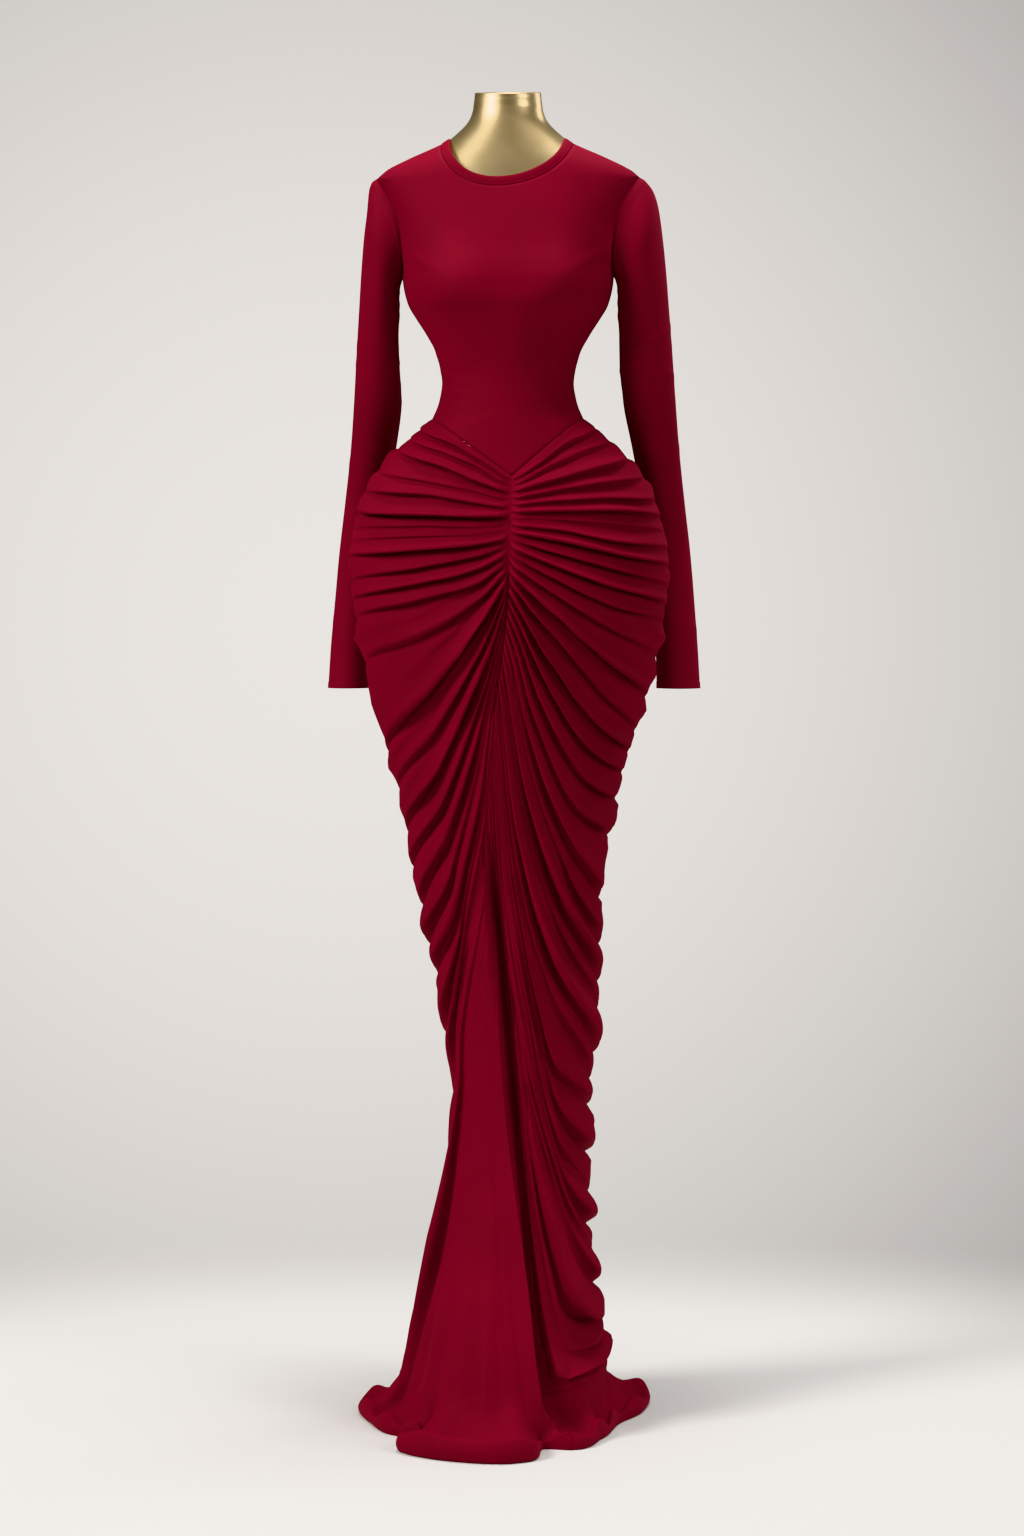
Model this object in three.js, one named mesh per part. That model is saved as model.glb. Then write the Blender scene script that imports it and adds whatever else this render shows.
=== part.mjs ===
// A long-sleeved bodycon maxi dress in stretch jersey, worn by a limbless display form.
// The bodice is fitted and plain, with a narrow neckband. Its lower edge is a V, and the skirt
// below it is gathered into a centre-front seam, so that folds fan out to the side seams and
// the floor. The hem is longer than the figure and lies on the floor with its edge tucked under.
// Millimetres, +Z up. The dress faces -Y, its wearer's left is +X, and the floor is Z = 0.
import * as THREE from "three";

const CLOTH = 2; // wall of the jersey
const SEAM_GAP = 0.5; // between pieces that are sewn together
const WAIST_GAP = 0.7; // between the bodice and the skirt
const KNEE = 60; // height where the cloth begins to turn out along the floor
const HEM_STEP = 10; // cloth coordinate between two steps of the hem's profile
const HEM_STEPS = 8;
const WAIST_SIDE = 1252; // waist seam at the side seams
const WAIST_FRONT = 1176; // waist seam at its front point
const WAIST_BACK = 1228; // waist seam at the centre back
const SIDE_X = 95; // half width of the waist seam
const GATHER_END = 826; // lower end of the gathered centre-front seam
const JERSEY = { color: 0x7d0a22, roughness: 0.85, metalness: 0 };
const GOLD = { color: 0xb89a5a, roughness: 0.35, metalness: 1 };
const STEEL = { color: 0xb9bbbd, roughness: 0.4, metalness: 1 };

// Turns rows of numbers into objects with named columns.
const named = (columns, rows) =>
  rows.map((r) => Object.fromEntries(columns.map((c, i) => [c, r[i]])));

// The figure's sections: centre x, half width, and depth in front of and behind the side seams.
const SECTIONS = named(["z", "cx", "half", "front", "back"], [
  [0, 2, 126, 178, 140],
  [60, 2, 120, 168, 132],
  [90, 2, 114, 158, 126],
  [150, 3, 105, 138, 114],
  [205, 5, 98, 120, 103],
  [265, 7, 91, 104, 93],
  [325, 10, 86, 90, 84],
  [425, 16, 82, 78, 76],
  [495, 16, 90, 78, 75],
  [550, 13, 94, 80, 77],
  [600, 8, 99, 83, 80],
  [660, 2, 107, 87, 84],
  [700, 0, 116, 91, 89],
  [740, 0, 123, 94, 94],
  [790, 0, 134, 98, 102],
  [870, 1, 158, 105, 117],
  [950, 2, 180, 111, 141],
  [1000, 2, 190, 114, 156],
  [1050, 2, 197, 115, 163],
  [1085, 1, 197, 114, 161],
  [1135, 0, 187, 109, 147],
  [1165, 0, 175, 104, 131],
  [1185, 0, 162, 100, 119],
  [1220, 0, 128, 93, 98],
  [1240, 0, 107, 89, 88],
  [1256, 0, 92, 86, 82],
  [1275, 0, 85, 84, 78],
  [1295, 0, 82, 83, 76],
  [1330, 0, 89, 90, 79],
  [1355, 0, 102, 97, 83],
  [1375, 0, 115, 103, 86],
  [1392, 0, 125, 108, 89],
  [1415, 0, 131, 108, 92],
  [1432, 0, 133, 106, 94],
  [1460, 0, 140, 99, 97],
  [1490, 0, 150, 91, 98],
  [1520, 0, 161, 82, 94],
  [1545, 0, 166, 74, 87],
  [1556, 0, 157, 71, 83],
  [1570, 0, 130, 67, 77],
  [1585, 0, 95, 61, 70],
  [1597, 0, 68, 56, 63],
]);

// Each cup's soft rise on the bodice: its angle from the centre front, height and spreads.
const CUP = { angle: 33, z: 1404, rise: 16, spreadAngle: 21, spreadUp: 46, spreadDown: 26 };

// How far the hem lies from the middle of the skirt, all round, by angle from the front.
const HEM_OUTLINE = named(["angle", "radius"], [
  [-180, 190],
  [-152, 208],
  [-122, 180],
  [-92, 190],
  [-66, 182],
  [-48, 186],
  [-33, 174],
  [-25, 240],
  [-12, 254],
  [0, 258],
  [8, 244],
  [15, 188],
  [24, 206],
  [40, 178],
  [70, 150],
  [98, 174],
  [124, 200],
  [152, 186],
  [180, 190],
]);

// The hem's profile, step by step: its share of the way out, and its height.
const HEM_PROFILE = named(["step", "share", "z"], [
  [0, 0, 60],
  [1, 0.11, 43],
  [2, 0.27, 29],
  [3, 0.47, 18],
  [4, 0.7, 13],
  [5, 0.92, 16],
  [6, 1, 8],
  [7, 0.94, 0],
  [8, 0.76, 0],
]);

// The centre-front line, which wanders across the figure as the folds pull it.
const CENTRE_FRONT = named(["z", "x"], [
  [60, 60],
  [98, 52],
  [172, 40],
  [257, 29],
  [342, 18],
  [434, 7],
  [513, -1],
  [574, -7],
  [684, -16],
  [745, -18],
  [797, -17],
  [851, -14],
  [916, -8],
  [940, -4],
  [1006, 3],
  [1093, 7],
  [1176, 10],
]);

// One row for each fold of a front panel. A fold starts on the centre-front line at height
// start, passes two places (x, z), and ends at an angle round the figure and a height: 90
// degrees is a side seam, and height 60 is where the cloth meets the floor. It rises that far
// over its width, and drops by hook before it reaches its end.
const FOLD_COLUMNS = "start x1 z1 x2 z2 endAngle endZ rise width hook".split(" ");
const LEFT_FOLDS = named(FOLD_COLUMNS, [
  [1171, 41, 1194, 74, 1220, 90, 1243, 4, 6, 0],
  [1165, 47, 1186, 92, 1208, 90, 1226, 5, 7, 0],
  [1158, 53, 1173, 111, 1190, 90, 1205, 6, 8, 0],
  [1150, 59, 1161, 123, 1172, 90, 1180, 6, 8, 0],
  [1142, 65, 1149, 135, 1153, 90, 1151, 7, 8, 0],
  [1134, 65, 1137, 135, 1139, 90, 1131, 6, 8, 0],
  [1126, 65, 1125, 129, 1121, 90, 1112, 4, 8, 0],
  [1118, 65, 1114, 135, 1101, 90, 1092, 6, 9, 0],
  [1110, 65, 1102, 135, 1087, 90, 1070, 8, 9, 0],
  [1102, 65, 1087, 135, 1068, 90, 1042, 9, 9, 0],
  [1093, 65, 1071, 135, 1047, 90, 1022, 8, 9, 0],
  [1084, 65, 1056, 129, 1027, 90, 1001, 9, 10, 2],
  [1075, 63, 1039, 129, 1000, 90, 958, 8, 12, 4],
  [1065, 59, 1020, 127, 963, 90, 910, 11, 12, 6],
  [1055, 57, 997, 121, 925, 90, 868, 12, 12, 8],
  [1044, 53, 968, 113, 890, 90, 843, 11, 12, 8],
  [1032, 51, 940, 105, 858, 90, 818, 11, 12, 8],
  [1019, 47, 914, 99, 822, 90, 787, 12, 12, 8],
  [1006, 42, 885, 90, 785, 90, 750, 11, 12, 8],
  [992, 38, 853, 84, 744, 90, 668, 13, 13, 8],
  [978, 34, 823, 78, 702, 90, 612, 13, 13, 8],
  [964, 30, 794, 72, 668, 90, 566, 12, 13, 8],
  [950, 26, 764, 66, 635, 90, 526, 13, 13, 8],
  [936, 21, 734, 60, 600, 90, 476, 13, 13, 9],
  [922, 17, 704, 56, 562, 90, 438, 12, 12, 9],
  [909, 14, 678, 52, 528, 90, 408, 12, 12, 9],
  [897, 11, 653, 49, 492, 90, 348, 14, 13, 9],
  [886, 9, 624, 48, 446, 90, 293, 15, 13, 10],
  [876, 8, 599, 48, 406, 90, 255, 14, 13, 12],
  [867, 8, 576, 49, 366, 90, 218, 14, 13, 14],
  [859, 8, 553, 51, 330, 90, 174, 15, 14, 16],
  [852, 9, 532, 53, 294, 90, 128, 16, 14, 18],
  [846, 11, 514, 58, 250, 90, 88, 18, 15, 20],
  [841, 10, 500, 59, 222, 90, 60, 3, 14, 4],
  [836, 7, 500, 52, 216, 70, 60, 9, 16, 0],
  [831, 5, 498, 45, 214, 50, 60, 6, 14, 0],
]);
const RIGHT_FOLDS = named(FOLD_COLUMNS, [
  [1171, -20, 1193, -61, 1219, -90, 1244, 5, 6, 0],
  [1165, -26, 1188, -71, 1207, -90, 1233, 6, 7, 0],
  [1157, -32, 1174, -77, 1193, -90, 1219, 6, 8, 0],
  [1148, -38, 1160, -98, 1173, -90, 1190, 3, 8, 0],
  [1139, -38, 1147, -104, 1158, -90, 1164, 6, 9, 0],
  [1130, -38, 1131, -110, 1134, -90, 1139, 8, 10, 0],
  [1120, -38, 1116, -110, 1118, -90, 1118, 3, 9, 0],
  [1111, -38, 1106, -110, 1105, -90, 1101, 2, 8, 0],
  [1103, -38, 1096, -110, 1092, -90, 1083, 8, 9, 0],
  [1094, -38, 1082, -104, 1070, -90, 1050, 8, 9, 0],
  [1085, -38, 1066, -104, 1051, -90, 1027, 6, 9, 0],
  [1076, -38, 1049, -104, 1031, -90, 1004, 8, 10, 0],
  [1067, -38, 1026, -104, 988, -90, 951, 7, 11, 2],
  [1056, -35, 997, -94, 922, -90, 838, 10, 12, 5],
  [1044, -34, 962, -87, 874, -90, 790, 11, 12, 5],
  [1031, -32, 935, -80, 834, -90, 737, 11, 12, 5],
  [1018, -31, 906, -76, 792, -90, 696, 12, 12, 6],
  [1004, -30, 877, -73, 750, -90, 648, 12, 12, 6],
  [990, -28, 849, -66, 706, -90, 610, 12, 12, 6],
  [976, -26, 820, -60, 668, -90, 568, 13, 12, 6],
  [962, -24, 790, -55, 628, -90, 497, 12, 12, 6],
  [950, -23, 772, -54, 590, -90, 425, 6, 12, 0],
  [939, -23, 755, -56, 545, -90, 330, 2, 12, 0],
  [929, -24, 735, -58, 500, -90, 235, 2, 12, 0],
  [919, -25, 715, -60, 468, -90, 148, 2, 12, 0],
  [909, -26, 700, -61, 440, -90, 60, 2, 12, 0],
  [899, -24, 690, -57, 424, -78, 60, 11, 14, 0],
  [887, -23, 684, -50, 408, -60, 60, 4, 16, 0],
  [875, -22, 680, -43, 394, -42, 60, 10, 12, 0],
  [863, -21, 672, -32, 382, -20, 60, 3, 20, 0],
  [851, -20, 668, -20, 372, 0, 60, 6, 22, 0],
  [841, -19, 664, -7, 366, 13, 60, 3, 20, 0],
  [833, -18, 660, 2, 362, 21, 60, 14, 10, 0],
]);

// Where along a fold the mesh has a column of points, from the centre front to the fold's end.
const FOLD_STATIONS = [0, 0.04, 0.14, 0.3, 0.5, 0.7, 0.87, 1];
const BACK_STATIONS = [0, 0.12, 0.3, 0.52, 0.86, 1];
const BILLOW = 6; // how far the cloth swells between two folds at a side seam
const PINCH = 9; // how far the gathers are drawn in beside the centre-front seam
const BACK_SAG = 26; // how far the folds hang down across the back

// The left sleeve's rings after the armhole: its outer and inner points seen from the front,
// and its middle and half depth seen from the side. The shifts move these points to the left
// on both sleeves, because both hang that little to the left.
const SLEEVE_RINGS = named(
  ["outX", "outZ", "inX", "inZ", "midY", "halfY", "outShift", "inShift"],
  [
    [175.5, 1541, 136.5, 1424, 4, 50, 6, 0],
    [184.5, 1488, 137, 1401, 7, 47, 6, 0],
    [189.5, 1440, 137, 1380, 10, 44, 6.3, 0],
    [193.5, 1388, 138, 1352, 15, 41, 6.5, 0],
    [197.7, 1334, 138, 1318, 25, 39, 6.5, 0.5],
    [202, 1280, 139.5, 1276, 42, 37, 6, 3],
    [208, 1216, 150, 1216, 67, 35, 5, 4],
    [216.5, 1150, 163, 1150, 93, 34, 3.5, 3.5],
    [225, 1085, 172, 1085, 110, 33, 2.5, 2.5],
    [231, 1020, 178, 1020, 115, 34, 2, 2],
    [236, 960, 182, 960, 115, 36, 1.5, 1.5],
    [238, 926, 183, 926, 113, 38, 1.5, 1.5],
    [239, 914, 183, 914, 112, 39, 1.5, 1.5],
  ],
);
const ARMHOLE = { y: 2, z: 1490, halfY: 42, halfZ: 60 };
const NECKLINE = { z: 1591, lowX: -9, front: 61, back: 17 };
const BAND = { width: 12, lift: 0.14, bulge: 0.5 };

// The form's neck above the shoulders.
const NECK_SECTIONS = named(["z", "half", "front", "back"], [
  [1605, 54, 49, 53],
  [1618, 47, 44, 48],
  [1636, 43, 41, 46],
  [1661, 41, 40, 44],
]);
const FORM = { bottom: 700, neckTilt: 0.16 };
// The form's distance inside the cloth.
const FORM_CLEAR = named(["z", "clear"], [
  [700, 12],
  [1200, 10],
  [1300, 7],
  [1500, 8],
  [1560, 7.3],
  [1580, 3.7],
  [1597, 3],
]);
const POLE = { radius: 16, segments: 24 };
const BASE = { radius: 108, thickness: 8, segments: 40 };
const PART_GAP = 0.3; // between the form, its pole and its base

const TURN = Math.PI / 180;
const mix = (a, b, t) => a + (b - a) * t;
const clamp = (v, low, high) => Math.min(high, Math.max(low, v));
const easeIn = (low, high, v) => {
  const t = clamp((v - low) / (high - low), 0, 1);
  return t * t * (3 - 2 * t);
};

// A smooth curve through two columns of a table, which never swings past its points.
function curveThrough(rows, across, up) {
  const sorted = [...rows].sort((p, q) => p[across] - q[across]);
  const x = sorted.map((r) => r[across]);
  const y = sorted.map((r) => r[up]);
  const slope = x.slice(1).map((v, i) => (y[i + 1] - y[i]) / (v - x[i]));
  const lean = x.map((_, i) => {
    if (i === 0) return slope[0];
    if (i === x.length - 1) return slope[i - 1];
    const product = slope[i - 1] * slope[i];
    return product <= 0 ? 0 : (2 * product) / (slope[i - 1] + slope[i]);
  });
  return (q) => {
    let i = x.findIndex((v) => v > q) - 1;
    if (i < 0) i = q < x[0] ? 0 : x.length - 2;
    const step = x[i + 1] - x[i];
    const t = clamp((q - x[i]) / step, 0, 1);
    const a = (1 + 2 * t) * (1 - t) * (1 - t) * y[i];
    const b = t * (1 - t) * (1 - t) * step * lean[i];
    const c = t * t * (3 - 2 * t) * y[i + 1];
    const d = t * t * (t - 1) * step * lean[i + 1];
    return a + b + c + d;
  };
}

const centreX = curveThrough(SECTIONS, "z", "cx");
const halfWidth = curveThrough(SECTIONS, "z", "half");
const frontDepth = curveThrough(SECTIONS, "z", "front");
const backDepth = curveThrough(SECTIONS, "z", "back");
const hemRadius = curveThrough(HEM_OUTLINE, "angle", "radius");
const hemShare = curveThrough(HEM_PROFILE, "step", "share");
const hemHeight = curveThrough(HEM_PROFILE, "step", "z");
const centreFront = curveThrough(CENTRE_FRONT, "z", "x");

// How far a cup lifts the bodice, at an angle in radians and a height.
function cupRise(angle, z) {
  const left = (angle / TURN - CUP.angle) / CUP.spreadAngle;
  const right = (angle / TURN + CUP.angle) / CUP.spreadAngle;
  const up = (z - CUP.z) / (z > CUP.z ? CUP.spreadUp : CUP.spreadDown);
  return CUP.rise * (Math.exp(-left * left) + Math.exp(-right * right)) * Math.exp(-up * up);
}

// The dress's smooth surface, without its folds. The angle is 0 at the front and +90 degrees at
// the wearer's left. The cloth coordinate w is the height down to KNEE, and below it counts on
// along the hem, which turns out over the floor and is tucked under at its edge.
function clothPoint(angle, w) {
  const z = Math.max(w, KNEE);
  const side = Math.sin(angle);
  const ahead = Math.cos(angle);
  const depth = ahead > 0 ? frontDepth(z) : backDepth(z);
  const x = centreX(z) + halfWidth(z) * side;
  const y = -depth * ahead;
  if (w >= KNEE) {
    const rise = z > WAIST_SIDE ? cupRise(angle, z) : 0;
    return new THREE.Vector3(x, y - rise, z);
  }
  const step = (KNEE - w) / HEM_STEP;
  const out = new THREE.Vector2(side / halfWidth(z), -ahead / depth).normalize();
  const reach = hemRadius(Math.atan2(x, -y) / TURN) - Math.hypot(x, y);
  const share = hemShare(step);
  return new THREE.Vector3(x + out.x * reach * share, y + out.y * reach * share, hemHeight(step));
}

// The smooth surface's outward direction, from four points close by.
function clothNormal(angle, w) {
  const near = 0.004;
  const across = clothPoint(angle + near, w).sub(clothPoint(angle - near, w));
  const up = clothPoint(angle, w + 1).sub(clothPoint(angle, w - 1));
  return across.cross(up).normalize();
}

// The angle whose point on the surface lies at that x, on the front.
function angleAt(x, z) {
  return Math.asin(clamp((x - centreX(z)) / halfWidth(z), -1, 1));
}

// The waist seam's height at an x: straight lines that make a V in front and a shallow one behind.
function waistHeight(x, lowest, lowestX) {
  const edge = x > lowestX ? SIDE_X : -SIDE_X;
  return mix(lowest, WAIST_SIDE, clamp((x - lowestX) / (edge - lowestX), 0, 1.4));
}

// A closed wall on a sheet of triangles. Each point has a place on its outer face and an outward
// direction, and the inner face lies a wall's thickness behind it.
function wallOf(points, triangles, thickness) {
  const outer = points.map((p) => p.at);
  const inner = points.map((p) => p.at.clone().addScaledVector(p.out, -thickness));
  const count = outer.length;
  const faces = [];
  const edges = new Map();
  for (const [a, b, c] of triangles) {
    faces.push([a, b, c], [a + count, c + count, b + count]);
    for (const [p, q] of [[a, b], [b, c], [c, a]]) {
      if (!edges.delete(`${q} ${p}`)) edges.set(`${p} ${q}`, [p, q]);
    }
  }
  for (const [p, q] of edges.values()) {
    faces.push([q, p, p + count], [q, p + count, q + count]);
  }
  return outward(geometryOf([...outer, ...inner], faces));
}

function geometryOf(places, faces) {
  const geometry = new THREE.BufferGeometry();
  const flat = places.flatMap((p) => [p.x, p.y, p.z]);
  geometry.setAttribute("position", new THREE.Float32BufferAttribute(flat, 3));
  geometry.setIndex(faces.flat());
  return geometry;
}

// The triangles of a grid of point numbers, given as rows. Each quad is cut along its shorter
// diagonal.
function gridTriangles(rows, points) {
  const triangles = [];
  for (let i = 0; i + 1 < rows.length; i++) {
    for (let j = 0; j + 1 < rows[i].length; j++) {
      const [a, b] = [rows[i][j], rows[i][j + 1]];
      const [c, d] = [rows[i + 1][j], rows[i + 1][j + 1]];
      const straight = points[a].at.distanceTo(points[d].at);
      const crossed = points[b].at.distanceTo(points[c].at);
      if (straight < crossed) triangles.push([a, c, d], [a, d, b]);
      else triangles.push([a, c, b], [b, c, d]);
    }
  }
  return triangles.filter(([a, b, c]) => a !== b && b !== c && c !== a);
}

// The angle of the centre-front line at a height.
const centreAngle = (w) => angleAt(centreFront(w), w);

// The fold's line through its four places, on the plane of angle and height. Between them it
// keeps beside the centre-front line, so that neighbouring folds never cross.
function foldLine(fold) {
  const places = named(["t", "away", "w"], [
    [0, 0, fold.start],
    [1 / 3, angleAt(fold.x1, fold.z1) - centreAngle(fold.z1), fold.z1],
    [2 / 3, angleAt(fold.x2, fold.z2) - centreAngle(fold.z2), fold.z2],
    [1, fold.endAngle * TURN - centreAngle(fold.endZ), fold.endZ],
  ]);
  const away = curveThrough(places, "t", "away");
  const height = curveThrough(places, "t", "w");
  const dip = (t) => 12.2 * t ** 4 * (1 - t);
  return (t) => {
    const w = height(t);
    return { angle: centreAngle(w) + away(t), w: w - fold.hook * dip(t) };
  };
}

// The panel's top edge, along the waist seam.
function waistLine(side) {
  const start = angleAt(centreFront(WAIST_FRONT), WAIST_FRONT);
  return (t) => {
    const angle = mix(start, side * 90 * TURN, t);
    let w = WAIST_FRONT;
    for (let i = 0; i < 12; i++) {
      const x = centreX(w) + halfWidth(w) * Math.sin(angle);
      w = mix(w, waistHeight(x, WAIST_FRONT, centreFront(WAIST_FRONT)), 0.6);
    }
    return { angle, w };
  };
}

// The panel's lower inner edge: the centre-front line from the gathers down to the floor.
function centreLine() {
  return (t) => {
    const w = mix(GATHER_END, KNEE, t);
    return { angle: angleAt(centreFront(w), w), w };
  };
}

// The height of the folds between two neighbouring fold lines. Share is how far the point lies
// from the upper line to the lower one, spacing is how far apart they are, t is its share of the
// way along them, and length is that way in millimetres. A fold falls off steeply below its crest
// and gently above it.
function foldRise(upper, lower, share, spacing, t, length) {
  const width = (fold) => Math.min(fold.width, 0.34 * spacing);
  const height = (fold) => Math.min(fold.rise, 0.6 * spacing);
  const below = (share * spacing) / width(upper);
  const above = ((1 - share) * spacing) / (1.7 * width(lower));
  const a = height(upper) * Math.exp(-below * below);
  const b = height(lower) * Math.exp(-above * above);
  const swell = BILLOW * Math.sin(Math.PI * share) * easeIn(0.72, 1, t) * easeIn(12, 40, spacing);
  const seam = 1 - Math.exp(-((length / PINCH) ** 2));
  const edge = 1 - 0.45 * easeIn(0.8, 1, t);
  return (Math.max(a, b) + 0.35 * Math.min(a, b)) * seam * edge + swell;
}

// A front panel's rows of points, from the waist seam down: each has its fold lines, and the
// share of the way between them. A plain fold stands for each edge.
function panelRows(side, folds) {
  const flat = { rise: 0, width: 8 };
  const lines = [
    { fold: flat, at: waistLine(side) },
    ...folds.map((fold) => ({ fold, at: foldLine(fold) })),
    { fold: flat, at: centreLine() },
  ];
  const rows = [];
  for (let i = 0; i + 1 < lines.length; i++) {
    const [upper, lower] = [lines[i], lines[i + 1]];
    const foot = (gap) => clamp((1.5 * upper.fold.width) / gap, 0.12, 0.38);
    const start = (gap) => 1 - clamp((2.2 * lower.fold.width) / gap, 0.14, 0.42);
    const shares = [() => 0, foot, start];
    if (i === 0) shares.splice(1, 1);
    shares.forEach((share) => rows.push({ upper, lower, share }));
  }
  rows.push({ upper: lines.at(-2), lower: lines.at(-1), share: () => 1, seam: true });
  return rows;
}

// One point of a row, on the plane of angle and cloth coordinate, with the folds' height there.
function rowPoint(row, t) {
  const [a, b] = [row.upper.at(t), row.lower.at(t)];
  const spacing = clothPoint(a.angle, a.w).distanceTo(clothPoint(b.angle, b.w));
  const share = row.share(spacing);
  const begin = row.upper.at(0);
  const length = clothPoint(a.angle, a.w).distanceTo(clothPoint(begin.angle, begin.w));
  const rise = row.seam ? 0 : foldRise(row.upper.fold, row.lower.fold, share, spacing, t, length);
  return { angle: mix(a.angle, b.angle, share), w: mix(a.w, b.w, share), rise };
}

// Puts a point on the cloth, moved aside along X or Y to leave its half of a seam's gap.
function onCloth({ angle, w, rise }, aside = [0, 0]) {
  const out = clothNormal(angle, w);
  const at = clothPoint(angle, w).addScaledVector(out, rise);
  at.x += aside[0];
  at.y += aside[1];
  return { at, out, angle, w, rise };
}

// Continues the sheet from its points at KNEE along the floor to the tucked edge. The folds
// flatten out on the way, and edge points keep their seam's gap.
function addHem(points, top) {
  const rows = [top];
  for (let step = 1; step <= HEM_STEPS; step++) {
    rows.push(top.map((index) => {
      const { angle, rise, aside } = points[index];
      const left = rise * (1 - easeIn(0, 6, step));
      points.push({ ...onCloth({ angle, w: KNEE - step * HEM_STEP, rise: left }, aside), aside });
      return points.length - 1;
    }));
  }
  return gridTriangles(rows, points);
}

// A front panel of the skirt, and the points of its side seam from the waist down.
function frontPanel(side, folds) {
  const points = [];
  const gap = SEAM_GAP / 2;
  const rows = panelRows(side, folds).map((row, i, all) =>
    FOLD_STATIONS.map((t, j) => {
      const place = rowPoint(row, t);
      const onCentre = j === 0 || i === all.length - 1;
      const onSide = t === 1 && Math.abs(Math.abs(place.angle) - 90 * TURN) < 1e-6;
      const aside = [onCentre ? side * gap : 0, onSide ? -gap : 0];
      points.push({ ...onCloth(place, aside), aside });
      return points.length - 1;
    }),
  );
  const ends = rows.map((row) => row.at(-1));
  const corner = ends.findIndex((index) => points[index].w <= KNEE + 1e-6);
  const triangles = gridTriangles(rows, points);
  const hem = addHem(points, ends.slice(corner).reverse());
  const sideSeam = ends.slice(0, corner + 1).map((index) => points[index]);
  return { geometry: wallOf(points, [...triangles, ...hem], CLOTH), sideSeam };
}

// A back panel: points of the side seam each start a line that hangs in a shallow curve to the
// centre back, and the folds run on along it, lower and lower, and die away at the seam. Every
// third point, the foot of a fold, is passed over.
function backPanel(side, sideSeam) {
  const points = [];
  const gap = SEAM_GAP / 2;
  const last = sideSeam.length - 1;
  const starts = sideSeam.filter((_, i) => i === last || i % 3 !== 0 || i === 0);
  const rows = starts.map((start, i) =>
    BACK_STATIONS.map((t, j) => {
      const edge = waistHeight(0, WAIST_BACK, 0);
      const share = (WAIST_SIDE - start.w) / (WAIST_SIDE - KNEE);
      const level = mix(edge, KNEE, share);
      const sag = BACK_SAG * Math.sin(Math.PI * share) * Math.sin(Math.PI * t);
      const angle = side * mix(90, 180, t) * TURN;
      const straight = i === 0 ? waistBackHeight(angle) : mix(start.w, level, t) - sag;
      const w = i === starts.length - 1 ? KNEE : straight;
      const rise = start.rise * (1 - 0.6 * easeIn(0.2, 0.8, t)) * (1 - easeIn(0.86, 1, t));
      const aside = [t === 1 ? side * gap : 0, j === 0 ? gap : 0];
      points.push({ ...onCloth({ angle, w, rise }, aside), aside });
      return points.length - 1;
    }),
  );
  const hem = addHem(points, rows.at(-1));
  return wallOf(points, [...gridTriangles(rows, points), ...hem], CLOTH);
}

// The waist seam's height on the back, at an angle.
function waistBackHeight(angle) {
  let w = WAIST_BACK;
  for (let i = 0; i < 12; i++) {
    const x = centreX(w) + halfWidth(w) * Math.sin(angle);
    w = mix(w, waistHeight(x, WAIST_BACK, 0), 0.6);
  }
  return w;
}

// A surface stretched over four edges, in the plane of angle and height. The two side edges
// share their heights, so a point's height and angle each blend from the edges.
function patchPoint(edges, u, v) {
  const [low, high] = [edges.lower(u), edges.upper(u)];
  const [left, right] = [edges.side(-1, v), edges.side(1, v)];
  const across = (u + 1) / 2;
  const plainLeft = mix(edges.lower(-1).angle, edges.upper(-1).angle, v);
  const plainRight = mix(edges.lower(1).angle, edges.upper(1).angle, v);
  const drawnIn = mix(left.angle - plainLeft, right.angle - plainRight, across);
  const plainHeight = mix(edges.lower(1).w, edges.upper(1).w, v);
  return {
    angle: mix(low.angle, high.angle, v) + drawnIn,
    w: mix(low.w, high.w, v) + mix(left.w, right.w, across) - plainHeight,
    rise: 0,
  };
}

// Where an armhole's half begins, as a turn from its lowest point to the side seam.
const armholeStart = (facing) => Math.asin((-ARMHOLE.y * facing) / ARMHOLE.halfY);

// The side of a bodice piece from the waist up: side seam, armhole and shoulder seam.
const ARMHOLE_PART = [0.42, 0.86];
const ARMHOLE_STEPS = 10;
function bodiceSide(facing) {
  const [begin, end] = ARMHOLE_PART;
  const tip = Math.sqrt(1 - (ARMHOLE.y / ARMHOLE.halfY) ** 2) * ARMHOLE.halfZ;
  const [bottom, top] = [ARMHOLE.z - tip, ARMHOLE.z + tip];
  return (side, v) => {
    if (v <= begin) return { angle: side * 90 * TURN, w: mix(WAIST_SIDE, bottom, v / begin) };
    if (v >= end) return { angle: side * 90 * TURN, w: mix(top, NECKLINE.z, (v - end) / (1 - end)) };
    const start = armholeStart(facing);
    const turn = mix(start, Math.PI - start, (v - begin) / (end - begin));
    const w = ARMHOLE.z - Math.cos(turn) * ARMHOLE.halfZ;
    const y = ARMHOLE.y * facing + Math.sin(turn) * ARMHOLE.halfY;
    const depth = facing < 0 ? frontDepth(w) : backDepth(w);
    return { angle: side * Math.acos(clamp(y / depth, -1, 1)), w };
  };
}

// The neckline, seen from the front or the back as half an oval hung between the shoulders.
function neckEdge(facing) {
  const drop = facing < 0 ? NECKLINE.front : NECKLINE.back;
  const lowX = facing < 0 ? NECKLINE.lowX : 0;
  const halfX = halfWidth(NECKLINE.z);
  return (u) => {
    const turn = (u * Math.PI) / 2;
    const w = NECKLINE.z - drop * Math.cos(turn);
    const x = halfX * Math.sin(turn) + lowX * Math.cos(turn) ** 2;
    return { angle: Math.asin(clamp((x - centreX(w)) / halfWidth(w), -1, 1)), w };
  };
}

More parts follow.
